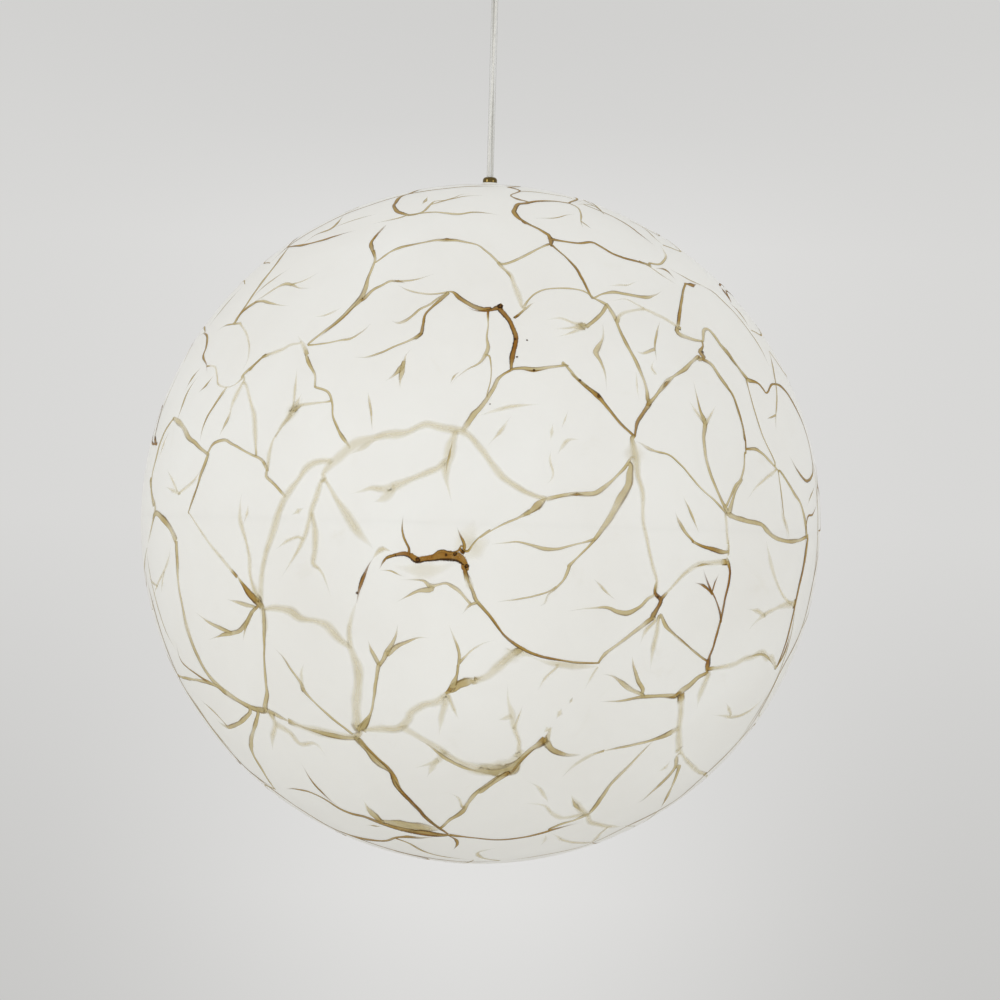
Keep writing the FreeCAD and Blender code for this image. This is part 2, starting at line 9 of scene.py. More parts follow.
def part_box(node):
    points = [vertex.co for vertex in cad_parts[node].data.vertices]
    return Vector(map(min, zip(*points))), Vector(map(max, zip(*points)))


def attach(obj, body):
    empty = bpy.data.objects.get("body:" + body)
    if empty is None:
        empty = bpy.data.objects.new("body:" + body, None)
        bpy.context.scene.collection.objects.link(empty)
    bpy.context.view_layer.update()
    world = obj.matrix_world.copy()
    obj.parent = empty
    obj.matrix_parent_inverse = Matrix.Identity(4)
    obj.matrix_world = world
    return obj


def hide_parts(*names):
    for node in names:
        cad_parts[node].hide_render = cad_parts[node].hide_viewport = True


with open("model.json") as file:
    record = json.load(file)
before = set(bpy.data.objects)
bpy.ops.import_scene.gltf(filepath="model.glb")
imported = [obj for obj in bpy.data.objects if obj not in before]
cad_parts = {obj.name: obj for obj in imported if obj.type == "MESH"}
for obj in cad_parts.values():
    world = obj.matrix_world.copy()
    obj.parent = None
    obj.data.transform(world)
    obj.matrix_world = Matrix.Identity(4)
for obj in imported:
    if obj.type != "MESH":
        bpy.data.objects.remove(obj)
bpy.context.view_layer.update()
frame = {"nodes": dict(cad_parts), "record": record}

MM = 0.001
FULL_TURN = 2 * math.pi

# The globe's circle in the photograph, in pixels of its 1000 x 1000 frame.
PICTURE_SIDE = 1000
GLOBE_PIXEL_X = 480.7
GLOBE_PIXEL_Y = 524.0
GLOBE_PIXEL_RADIUS = 340.0
LIMB_MARGIN = 1.9
LIMB_WAVE = 1.4
LIMB_WAVES_PER_PIXEL = 0.04

CAMERA_DISTANCE = 3.5
CAMERA_ROLL = math.radians(1.55)
SENSOR_WIDTH = 36.0

GLOBE_LOW, GLOBE_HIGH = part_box("upper_hemisphere")
GLOBE_RADIUS = GLOBE_HIGH[0]
GLOBE_CENTRE = Vector((0, 0, GLOBE_LOW[2]))
SKIN_RADIUS = GLOBE_RADIUS - 0.22 * MM
PAINT_RADIUS = GLOBE_RADIUS - 0.14 * MM
MOUTH_RADIUS = 0.060
LID_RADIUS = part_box("lid")[1][0]
GLOBE_WALL = 0.003

FOCAL_PIXELS = GLOBE_PIXEL_RADIUS * math.sqrt(CAMERA_DISTANCE**2 - GLOBE_RADIUS**2) / GLOBE_RADIUS
PIXEL = CAMERA_DISTANCE / FOCAL_PIXELS


# ---------------------------------------------------------------- camera


def make_camera():
    data = bpy.data.cameras.new("camera")
    data.lens = FOCAL_PIXELS / PICTURE_SIDE * SENSOR_WIDTH
    data.sensor_width = SENSOR_WIDTH
    data.shift_x = (PICTURE_SIDE / 2 - GLOBE_PIXEL_X) / PICTURE_SIDE
    data.shift_y = (GLOBE_PIXEL_Y - PICTURE_SIDE / 2) / PICTURE_SIDE
    data.clip_end = 60
    camera = bpy.data.objects.new("camera", data)
    camera.location = GLOBE_CENTRE - Vector((0, CAMERA_DISTANCE, 0))
    camera.rotation_mode = "XYZ"
    camera.rotation_euler = (math.pi / 2, -CAMERA_ROLL, 0)
    bpy.context.collection.objects.link(camera)
    bpy.context.scene.camera = camera


def on_globe(pixel_x, pixel_y):
    """The point of the globe's front that the photograph shows at a pixel."""
    across = (pixel_x - GLOBE_PIXEL_X) / FOCAL_PIXELS
    up = (GLOBE_PIXEL_Y - pixel_y) / FOCAL_PIXELS
    reach = math.hypot(across, up)
    wave = LIMB_WAVE * noise.noise(Vector((pixel_x, pixel_y, 0)) * LIMB_WAVES_PER_PIXEL)
    limit = (GLOBE_PIXEL_RADIUS - LIMB_MARGIN - wave) / FOCAL_PIXELS
    if reach > limit:
        across, up = across * limit / reach, up * limit / reach
    cosine, sine = math.cos(CAMERA_ROLL), math.sin(CAMERA_ROLL)
    ray = Vector((across * cosine - up * sine, 1, across * sine + up * cosine)).normalized()
    start = Vector((0, -CAMERA_DISTANCE, 0))
    along = -start.dot(ray)
    inside = GLOBE_RADIUS**2 - (start + ray * along).length_squared
    return (start + ray * (along - math.sqrt(max(inside, 0)))).normalized()


# ---------------------------------------------------------------- materials


def new_material(name):
    material = bpy.data.materials.new(name)
    material.use_nodes = True
    tree = material.node_tree
    return material, tree, tree.nodes["Principled BSDF"]


def linear(red, green, blue):
    """A colour written in 0 to 255 screen values, as the shader's own values."""
    def channel(value):
        value = value / 255
        return value / 12.92 if value <= 0.04045 else ((value + 0.055) / 1.055) ** 2.4
    return channel(red), channel(green), channel(blue), 1.0


def add_node(tree, kind, **values):
    node = tree.nodes.new(kind)
    for name, value in values.items():
        setattr(node, name, value)
    return node


def add_noise(tree, scale, detail=3.0, roughness=0.5, distortion=0.0):
    """Noise over the object's own coordinates, in metres."""
    place = add_node(tree, "ShaderNodeTexCoord")
    texture = add_node(tree, "ShaderNodeTexNoise")
    texture.inputs["Scale"].default_value = scale
    texture.inputs["Detail"].default_value = detail
    texture.inputs["Roughness"].default_value = roughness
    texture.inputs["Distortion"].default_value = distortion
    tree.links.new(place.outputs["Object"], texture.inputs["Vector"])
    return texture.outputs["Fac"]


def add_ramp(tree, source, *stops):
    """A colour ramp: each stop is (position, colour)."""
    ramp = add_node(tree, "ShaderNodeValToRGB")
    elements = ramp.color_ramp.elements
    while len(elements) < len(stops):
        elements.new(0.5)
    for element, (position, colour) in zip(elements, stops):
        element.position = position
        element.color = colour
    tree.links.new(source, ramp.inputs["Fac"])
    return ramp.outputs["Color"]


def add_math(tree, operation, first, second=None, clamp=False):
    node = add_node(tree, "ShaderNodeMath", operation=operation, use_clamp=clamp)
    for socket, value in zip(node.inputs, (first, second)):
        if value is None:
            continue
        if isinstance(value, (int, float)):
            socket.default_value = value
        else:
            tree.links.new(value, socket)
    return node.outputs[0]


def add_range(tree, source, from_low, from_high, to_low=0.0, to_high=1.0):
    """Maps a value from one range to another, smoothly and clamped."""
    node = add_node(tree, "ShaderNodeMapRange", interpolation_type="SMOOTHSTEP")
    for name, value in zip(("From Min", "From Max", "To Min", "To Max"), (from_low, from_high, to_low, to_high)):
        node.inputs[name].default_value = value
    tree.links.new(source, node.inputs["Value"])
    return node.outputs["Result"]


def add_bump(tree, shader, height, strength, distance):
    bump = add_node(tree, "ShaderNodeBump")
    bump.inputs["Strength"].default_value = strength
    bump.inputs["Distance"].default_value = distance
    tree.links.new(height, bump.inputs["Height"])
    tree.links.new(bump.outputs["Normal"], shader.inputs["Normal"])


def add_mix(tree, factor, first, second):
    node = add_node(tree, "ShaderNodeMix", data_type="RGBA")
    tree.links.new(factor, node.inputs["Factor"])
    for name, value in (("A", first), ("B", second)):
        socket = next(s for s in node.inputs if s.name == name and s.type == "RGBA")
        if isinstance(value, tuple):
            socket.default_value = value
        else:
            tree.links.new(value, socket)
    return next(s for s in node.outputs if s.type == "RGBA")


def plain_material(name, dark, light, roughness, metallic=0.0, grain=400.0, bump=0.1, depth=0.02 * MM):
    """A surface whose colour and gloss vary a little from place to place."""
    material, tree, shader = new_material(name)
    shader.inputs["Metallic"].default_value = metallic
    cloud = add_noise(tree, grain * 0.25, 3.0)
    colour = add_ramp(tree, cloud, (0.3, linear(*dark)), (0.7, linear(*light)))
    tree.links.new(colour, shader.inputs["Base Color"])
    gloss = add_range(tree, add_noise(tree, grain * 0.5, 2.0), 0.3, 0.7, roughness * 0.85, roughness * 1.15)
    tree.links.new(gloss, shader.inputs["Roughness"])
    add_bump(tree, shader, add_noise(tree, grain, 4.0), bump, depth)
    return material


def make_opal_material():
    """Opal acrylic: warm white, faintly clouded like stone, with a soft gloss."""
    material, tree, shader = new_material("opal_acrylic")
    cloud = add_noise(tree, 7.0, 4.0, 0.55, 0.4)
    base = add_ramp(tree, cloud, (0.3, linear(236, 235, 230)), (0.7, linear(241, 241, 237)))
    smoke = add_noise(tree, 19.0, 5.0, 0.6, 0.9)
    haze = add_range(tree, smoke, 0.62, 0.80, 0.0, 0.35)
    tree.links.new(add_mix(tree, haze, base, linear(226, 223, 212)), shader.inputs["Base Color"])
    shader.inputs["Roughness"].default_value = 0.42
    shader.inputs["Specular IOR Level"].default_value = 0.30
    shader.inputs["Subsurface Weight"].default_value = 0.12
    shader.inputs["Subsurface Scale"].default_value = 0.012
    shader.inputs["Subsurface Radius"].default_value = (1.0, 0.95, 0.85)
    add_bump(tree, shader, add_noise(tree, 90.0, 3.0), 0.05, 0.1 * MM)
    return material


def make_paint_material():
    """The veins' translucent stain: pooled and darker along its edges, broken up by noise.

    Three values ride on the strokes: across (-1 to 1), tone (0 pale wash to 1 near black) and fade (0 to 1).
    """
    material, tree, shader = new_material("vein_stain")
    across, tone, fade, side = (read_value(tree, name) for name in ("across", "tone", "fade", "side"))
    fine = add_noise(tree, 900.0, 3.0, 0.6)
    coarse = add_noise(tree, 120.0, 3.0, 0.6)
    pool = add_noise(tree, 45.0, 1.0)
    rough = add_range(tree, tone, 0.1, 0.9, 0.03, 0.6)
    wobble = add_math(tree, "MULTIPLY", add_math(tree, "SUBTRACT", fine, 0.5), rough)
    distance = add_math(tree, "ADD", add_math(tree, "ABSOLUTE", across), wobble)

    body = linear(222, 212, 178), linear(205, 188, 134), linear(172, 142, 76), linear(142, 94, 28)
    rim = linear(214, 202, 162), linear(148, 126, 68), linear(98, 70, 26), linear(46, 24, 3)
    stops = (0.05, 0.38, 0.68, 1.0)
    shifted = add_math(tree, "ADD", tone, add_math(tree, "MULTIPLY", add_math(tree, "SUBTRACT", coarse, 0.5), 0.35))
    body_colour = add_ramp(tree, shifted, *zip(stops, body))
    rim_colour = add_ramp(tree, shifted, *zip(stops, rim))
    lean = add_math(tree, "MULTIPLY", add_math(tree, "MULTIPLY", across, side), 0.34)
    edge = add_range(tree, add_math(tree, "ADD", distance, lean), 0.42, 0.72)
    tree.links.new(add_mix(tree, edge, body_colour, rim_colour), shader.inputs["Base Color"])

    crisp = add_range(tree, distance, 0.98, 0.72)
    soft = add_range(tree, distance, 1.0, 0.15)
    washy = add_range(tree, tone, 0.12, 0.40, 1.0, 0.0)
    shape = add_math(tree, "ADD", add_math(tree, "MULTIPLY", soft, washy),
                     add_math(tree, "MULTIPLY", crisp, add_math(tree, "SUBTRACT", 1.0, washy)))
    depth = add_range(tree, tone, 0.0, 0.75, 0.38, 0.97)
    patch = add_range(tree, pool, 0.3, 0.6, 0.72, 1.0)
    opacity = add_math(tree, "MULTIPLY", add_math(tree, "MULTIPLY", shape, depth), add_math(tree, "MULTIPLY", patch, fade))
    tree.links.new(opacity, shader.inputs["Alpha"])
    shader.inputs["Roughness"].default_value = 0.5
    shader.inputs["Specular IOR Level"].default_value = 0.12
    return material


def read_value(tree, name):
    return add_node(tree, "ShaderNodeAttribute", attribute_name=name).outputs["Fac"]


def make_clear_material():
    """The cable's clear sheath: nearly invisible in the middle and greyer towards its edges, where painted shade stands
    in for the darkening a clear tube gets from refraction.
    """
    material, tree, shader = new_material("clear_sheath")
    rim = add_node(tree, "ShaderNodeLayerWeight")
    rim.inputs["Blend"].default_value = 0.35
    edge = add_range(tree, rim.outputs["Facing"], 0.25, 0.8)
    # Painted shade: the colour turns grey towards the sheath's edges in place of the darkening that refraction gives
    # them.
    tree.links.new(add_mix(tree, edge, linear(236, 236, 232), linear(158, 157, 152)), shader.inputs["Base Color"])
    tree.links.new(add_range(tree, rim.outputs["Facing"], 0.2, 0.75, 0.16, 0.85), shader.inputs["Alpha"])
    gloss = add_range(tree, add_noise(tree, 200.0), 0.3, 0.7, 0.08, 0.16)
    tree.links.new(gloss, shader.inputs["Roughness"])
    add_bump(tree, shader, add_noise(tree, 150.0), 0.05, 0.05 * MM)
    return material


MATERIALS = {}


def make_materials():
    MATERIALS.update(
        opal_acrylic=make_opal_material(),
        vein_stain=make_paint_material(),
        clear_cable=make_clear_material(),
        polished_nickel=plain_material("polished_nickel", (196, 190, 176), (214, 209, 198), 0.14, 1.0, 300, 0.03),
        zinc_steel=plain_material("zinc_steel", (150, 152, 154), (182, 183, 184), 0.34, 1.0, 500, 0.15),
        spring_steel=plain_material("spring_steel", (128, 130, 134), (160, 161, 164), 0.28, 1.0, 600, 0.1),
        brass=plain_material("brass", (176, 140, 70), (206, 172, 98), 0.25, 1.0, 500, 0.1),
        aluminium=plain_material("aluminium", (178, 180, 182), (204, 205, 206), 0.38, 1.0, 700, 0.15),
        white_enamel=plain_material("white_enamel", (229, 228, 224), (232, 231, 227), 0.30, 0.0, 260, 0.03),
        white_nylon=plain_material("white_nylon", (226, 225, 219), (236, 235, 230), 0.45, 0.0, 500, 0.1),
        block_plastic=plain_material("block_plastic", (214, 211, 202), (226, 223, 215), 0.48, 0.0, 600, 0.15),
        holder_plastic=plain_material("holder_plastic", (220, 218, 211), (230, 228, 222), 0.40, 0.0, 600, 0.12),
        grey_rubber=plain_material("grey_rubber", (92, 92, 90), (112, 112, 109), 0.75, 0.0, 900, 0.3),
        core_insulation=plain_material("core_insulation", (206, 203, 194), (222, 219, 211), 0.42, 0.0, 500, 0.1),
        pale_core=plain_material("pale_core", (190, 189, 184), (206, 205, 200), 0.4, 0.0, 900, 0.2),
        white_core=plain_material("white_core", (222, 221, 217), (236, 235, 231), 0.35, 0.0, 900, 0.2),
        # dark_metal: polished brass with its colour darkened as painted reflection, standing in for the dark room that
        # the fitting reflects
        dark_metal=plain_material("dark_metal", (94, 78, 40), (120, 102, 60), 0.07, 1.0, 300, 0.03),
        lamp_opal=plain_material("lamp_opal", (232, 231, 227), (238, 237, 234), 0.22, 0.0, 120, 0.04),
        lamp_plastic=plain_material("lamp_plastic", (225, 224, 220), (234, 233, 230), 0.38, 0.0, 500, 0.1),
        black_insulator=plain_material("black_insulator", (14, 14, 15), (26, 26, 27), 0.2, 0.0, 400, 0.08),
    )


# ---------------------------------------------------------------- mesh helpers


def add_mesh(name, points, faces, material, body, replaced=(), sharp_angle=math.radians(35)):
    """A smooth-shaded piece that rides on a body."""
    mesh = bpy.data.meshes.new(name)
    mesh.from_pydata([tuple(p) for p in points], [], faces)
    mesh.materials.append(MATERIALS[material])
    mesh.shade_smooth()
    mesh.set_sharp_from_angle(angle=sharp_angle)
    piece = bpy.data.objects.new(name, mesh)
    bpy.context.collection.objects.link(piece)
    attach(piece, body)
    if replaced:
        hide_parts(*replaced)
    return piece


def lathe(name, outline, material, body, replaced=(), segments=96, turn=lambda r, z, a: (r, z)):
    """A closed outline of (radius, height) points turned about the Z axis.

    A point of radius 0 becomes one vertex, and turn may change a point's radius and height with the angle.
    """
    points, rings = [], []
    for radius, height in outline:
        if radius == 0:
            rings.append([len(points)] * segments)
            points.append((0, 0, height))
            continue
        ring = []
        for step in range(segments):
            angle = FULL_TURN * step / segments
            r, z = turn(radius, height, angle)
            ring.append(len(points))
            points.append((r * math.cos(angle), r * math.sin(angle), z))
        rings.append(ring)
    faces = []
    for index in range(len(rings)):
        low, high = rings[index], rings[(index + 1) % len(rings)]
        for step in range(segments):
            after = (step + 1) % segments
            corners = [low[step], low[after], high[after], high[step]]
            face = list(dict.fromkeys(corners))
            if len(face) > 2:
                faces.append(face)
    return add_mesh(name, points, faces, material, body, replaced)


def arc(centre_r, centre_z, radius, start, end, steps):
    """Points (radius, height) along an arc, from one angle in degrees to another, both included."""
    result = []
    for step in range(steps + 1):
        angle = math.radians(start + (end - start) * step / steps)
        result.append((centre_r + radius * math.cos(angle), centre_z + radius * math.sin(angle)))
    return result


# ---------------------------------------------------------------- globe


def shell_outline(outer, inner, start, end, steps):
    """The outline of a spherical shell between two latitudes."""
    middle = GLOBE_CENTRE[2]
    return arc(0, middle, outer, start, end, steps) + arc(0, middle, inner, end, start, steps)


def latitude(ring_radius, sphere_radius):
    return math.degrees(math.acos(ring_radius / sphere_radius))


def make_globe():
    inner = GLOBE_RADIUS - GLOBE_WALL
    hole = 5.2 * MM
    top = latitude(hole, SKIN_RADIUS)
    mouth = latitude(MOUTH_RADIUS, SKIN_RADIUS)
    edge = latitude(LID_RADIUS, SKIN_RADIUS)
    segments = 320
    lathe("globe_upper", shell_outline(SKIN_RADIUS, inner, 0, top, 90), "opal_acrylic", "globe",
          ["upper_hemisphere"], segments)
    lathe("globe_lower", shell_outline(SKIN_RADIUS, inner, -mouth, 0, 80), "opal_acrylic", "globe",
          ["lower_hemisphere"], segments)
    lid = arc(0, GLOBE_CENTRE[2], SKIN_RADIUS, -90, -edge, 14)
    lid = [(0, lid[0][1])] + lid[1:] + arc(0, GLOBE_CENTRE[2], inner, -edge, -90, 14)[:-1]
    lid.append((0, GLOBE_CENTRE[2] - inner))
    lathe("mouth_lid", lid, "opal_acrylic", "lid_body", ["lid"], segments)


# ---------------------------------------------------------------- veins

# Each stroke of stain is read off the photograph: its tone, its width in pixels, and its points in pixels.
SMOKE, PALE, OLIVE, TAN, BROWN, DARK = 0.02, 0.08, 0.36, 0.48, 0.70, 0.92

VEINS_TOP = [
    (BROWN, 1.5, "270,263,0.9 285,249 300,238 320,224 340,213 365,201 385,193 408,187 446,185 473,185 509,186,0.9"),
    (BROWN, 2.5, "408,192,1.5 400,197,2.5 396,202,3 394,206,3.5 397,211,3 402,213,3 408,215,2.5"),
    (OLIVE, 2, "408,215,2 416,214 424,211 430,205,1.5 435,201,1.5 445,200,1.2 455,197,1 463,194,1 476,193,0.9"),
    (TAN, 1, "432,204 455,198 465,196 487,195,0.9"),
    (OLIVE, 2, "421,205,0.9 425,201,3 428,196,0.9"),
    (OLIVE, 1.5, "372,224,0.9 385,221 398,218 408,215 421,213,2 435,212,1.5 446,213,2.5 458,214,2.5 473,212,1.5 "
                 "488,213 499,215,0.9"),
    (OLIVE, 2, "376,262,1 384,256 390,252,1.5 398,248,2.5 410,245,2 425,242,1.5 436,240,2.5 445,240,3 455,240,2.5 "
               "465,242,2 478,245,1.5 486,251 493,257 498,262 503,264,2.5 513,261,2.5 526,255 537,249 549,244"),
    (BROWN, 2, "438,240,0.9 446,239,3 456,240,0.9"),
    (PALE, 4, "498,262,3 504,269 511,275 514,284 518,294,5 521,304,4 523,308,3"),
    (OLIVE, 2, "500,266,0.9 508,273 513,283,0.9"),
    (BROWN, 1.5, "508,186,2 513,188,2.5 520,191,2 511,195,1.5 518,199,2.5 526,201,1"),
    (TAN, 1, "520,191 537,192 556,192 566,196 582,201 594,204,0.9"),
    (BROWN, 2, "569,203,1 554,201,1.5 537,201,2 526,203,2.5 518,204,3 515,209,4 514,212,4 519,218,3.5 529,224,2.5 "
               "539,229,2 549,235,2.5"),
    (DARK, 2, "519,219,0.9 526,223,2.5 533,226,0.9"),
    (BROWN, 4, "548,234,2 551,239,5 551,246,2"),
    (BROWN, 1.5, "551,244,1.5 559,251 567,258 576,268,2 582,278,2.5 587,288,2 592,298,1.5"),
    (BROWN, 2, "552,239,2 562,241 579,243 592,242 600,246 612,253 625,258 640,262 650,265"),
    (OLIVE, 1, "640,261 652,268 662,275 676,284"),
    (TAN, 1, "534,218,0.9 551,218 559,217 566,215 575,214,0.9"),
    (TAN, 1.5, "569,203 577,207 581,213 581,221 583,228,0.9"),
    (TAN, 1, "581,221 592,229,0.9"),
    (TAN, 1.5, "576,204 594,205 604,214,0.9"),
    (BROWN, 1.2, "588,206 612,216 628,225 640,234 655,246"),
    (TAN, 1, "631,218,0.9 645,228 655,238 663,245"),
    (OLIVE, 2, "660,245,1 664,251,2.5 666,257,3 660,264,2 650,263"),
    (OLIVE, 2.5, "362,300,3 373,290,2.5 382,285,2.5 390,281,3 397,281,2 413,280,2 434,274,0.9"),
    (BROWN, 1.5, "390,281,0.9 398,281,2.5 405,283,0.9"),
    (OLIVE, 1.5, "398,285,0.9 408,290,2.5 420,293,2 433,294 449,292"),
    (OLIVE, 2, "449,292 440,297 430,304 420,309 412,316,2.5 405,321,4 398,323,4 392,321,0.9"),
    (BROWN, 2, "448,293,3 440,300,3.5 432,307,2.5 425,315,2 423,325,2.5 421,333,3.5 416,338,3"),
    (OLIVE, 2, "421,334,3 408,341,2.5 395,346,2 380,353,2 366,357 354,357,0.9"),
    (OLIVE, 3, "411,349,0.9 406,355,1.5 404,362,3 400,369,5 393,376,3 385,381,0.9"),
    (OLIVE, 3, "404,361,2 402,371,4 400,379,3 400,388,0.9"),
    (BROWN, 3, "446,292,1.5 453,292,3 460,298,4 468,303,4 476,307,4 484,309,4 490,308,3"),
    (DARK, 3, "466,306,0.9 474,310,1.2 482,311,2 490,310,3 496,308,5 500,306,5 502,304,2"),
    (DARK, 3, "500,309,4 505,315,5 510,322,5 514,331,5 516,339,4 514,349,3.5 512,358,4 511,370,2.5"),
    (OLIVE, 1.5, "488,310 488,325 487,337,1.5 488,347,3 485,355,3.5 479,363,2.5 468,369,1.5 457,377,1 451,385,0.9"),
    (OLIVE, 1, "489,356 491,365 491,379 487,396"),
    (OLIVE, 2, "535,302,0.9 530,305 524,310,2 517,316,2"),
    (DARK, 2, "523,311,1 518,315,2.5 514,318,2"),
    (OLIVE, 1.5, "524,307,2 529,299 536,293 546,289 562,288 576,289 586,292 594,298"),
    (OLIVE, 2, "594,298,2 602,294,2 614,292,3 626,294,2.5 645,297,3 655,295,2.5 662,291,0.9"),
    (PALE, 2, "607,286,0.9 618,285,2.5 628,285,2 637,281,0.9"),
    (OLIVE, 2, "594,298 600,301,2.5 607,305,3"),
    (OLIVE, 3, "607,305,3 602,313 595,320,3.5 586,327,3"),
    (PALE, 2.5, "546,320,0.9 560,318 574,323 584,325,5"),
    (PALE, 2, "554,329,0.9 568,328 584,326,4"),
    (PALE, 2, "556,337,0.9 570,333 584,327,5"),
    (OLIVE, 4, "577,323,0.9 584,326,6 591,327,0.9"),
    (OLIVE, 2.5, "607,304,3 612,312,4 616,320,4 622,335,2.5 630,350,2.5 636,361,3 642,375,3 647,390,3 648,401,4"),
]

VEINS_UPPER_LEFT = [
    (BROWN, 3, "386,225,4 380,231,3 372,241,2.5 371,246,4.5 374,254,2.5"),
    (OLIVE, 3, "373,250,3 375,258,2.5 373,266,2.5 368,278,3 364,292,4 359,300,5 350,309,3.5 338,321,3 323,332,2.5 "
               "308,344,2"),
    (BROWN, 1.5, "362,297,0.9 352,309,2 340,320,1.5 328,330,2 318,338,0.9"),
    (OLIVE, 1.5, "371,323,0.9 364,330,2.5 352,338,2 342,340 326,343 309,345"),
    (PALE, 2, "342,307,0.9 335,311,2.5 325,315,2 314,317,0.9"),
    (PALE, 3, "298,336,3 303,345,3.5 307,355,3"),
    (OLIVE, 3, "305,350,3 308,361,3.5 312,369,2.5 315,376,2.5 315,386,2"),
    (OLIVE, 2, "315,387,2 328,392 332,403 333,417 338,429,2"),
    (TAN, 2.5, "337,427,1.5 341,435,3 346,442,3 350,448,2"),
    (TAN, 2.5, "242,376,4 248,370,3 255,364,2 266,354,1.5"),
    (PALE, 2.5, "262,357,2 272,353,3 283,349,3 290,345,3 299,343,2"),
    (TAN, 1, "250,370 258,361 267,353,0.9"),
    (PALE, 2, "243,369,3 248,358,2 249,345,2 246,333,2.5 240,323,3"),
    (OLIVE, 1.5, "240,323,2.5 232,324,1.5 224,326,1.5 216,332,0.9"),
    (BROWN, 2, "235,322,2.5 240,314,2 248,307,2 256,302,2.5"),
    (OLIVE, 1.5, "255,302,2.5 262,301,3 270,303,2 280,305 290,306,0.9"),
    (OLIVE, 2, "250,304,0.9 262,297,2 274,289,2 284,284,3.5 292,285,3 300,288 312,288,0.9"),
    (PALE, 1.5, "290,285,2 305,280 319,272,0.9"),
    (TAN, 1.5, "288,248,1 276,264 262,282,2 248,302,1.5 240,314"),
    (TAN, 1, "252,299,0.9 262,288 275,278 290,268,0.9"),
    (BROWN, 1.5, "288,247,1 302,245,2 319,241,1.5 335,236,2 356,230,0.9"),
    (TAN, 1.5, "300,246,0.9 315,235 330,229,2 338,222 345,214,0.9"),
    (TAN, 1, "332,228,0.9 345,223 360,218 376,214,0.9"),
    (TAN, 1, "205,332,0.9 215,318 228,302 245,284,0.9"),
    (BROWN, 2, "198,333,2.5 204,333,3 207,337,2 206,347,2 203,356,2 206,364,2 207,373,0.9"),
    (PALE, 2, "207,366,1 215,367,2 217,377,2 218,384,2 225,387,1.5 234,385,1 243,377"),
    (TAN, 1.5, "214,375,0.9 206,385,2 198,393,0.9"),
    (TAN, 1.5, "201,367,0.9 192,378,2 184,392,0.9"),
    (TAN, 1.5, "199,375,0.9 188,391 182,406 176,424,0.9"),
    (TAN, 1.5, "226,388,2.5 217,401,2 207,417,2 202,430,1.5 200,442,0.9"),
    (OLIVE, 2, "231,405,0.9 229,416,3 224,426,2.5 219,436,0.9"),
    (PALE, 3, "244,380,2 236,395,4 231,408,4 231,420,0.9"),
    (PALE, 4, "246,385,3 250,400,4 254,415,5 255,430,5 256,453,2"),
    (OLIVE, 4, "173,418,3 177,421,5 183,427,5 188,437,5 194,442,4 201,449,3.5 208,454,3"),
    (OLIVE, 2, "174,418,2 166,429 160,443 156,458 152,475 151,490 153,505"),
    (PALE, 2, "170,430,0.9 163,445,2.5 158,462,0.9"),
    (OLIVE, 2.5, "208,455,3.5 204,466,3 200,476,2.5 197,487,2 193,498,2 188,513,1.2"),
    (BROWN, 1.2, "201,474,0.9 197,487,1.5 193,499,1.5 188,512,0.9"),
    (OLIVE, 2, "208,452,2 213,444,3 224,440,3 234,445,2 248,453,2 259,458,2 265,464,3"),
    (OLIVE, 3, "263,462,2 267,470,3 266,476,3.5 274,484,2.5 283,494,2.5"),
    (PALE, 3, "267,471,3 269,455,4 273,440,2 281,428,2 291,414,3"),
    (PALE, 5, "293,411,8 288,418,5 281,426,3 275,437,2"),
    (OLIVE, 4, "289,416,0.9 292,411,6 297,408,4 304,405,0.9"),
    (PALE, 3, "293,410,5 302,405,3 315,403,3 327,402,1.5"),
    (PALE, 3, "293,409,4 297,402,3 302,393,0.9"),
    (PALE, 3, "293,408,2 295,390,3.5 297,368,0.9"),
    (SMOKE, 12, "285,425 293,410 303,398"),
    (OLIVE, 2.5, "368,392,0.9 369,400,3.5 371,412,2.5 372,431,0.9"),
    (OLIVE, 2, "450,384,0.9 454,376,2 460,371,0.9"),
    (PALE, 2, "167,469,0.9 173,482,3 177,491,3"),
    (PALE, 2.5, "165,487,0.9 172,490,3 180,494,3"),
    (PALE, 2, "178,494 191,483,3 197,476,2 205,464,0.9"),
    (DARK, 4, "154,436,2 155,440,4 157,444,2"),
    (TAN, 1, "153,430,0.9 158,415 166,397 176,378 184,362,0.9"),
]

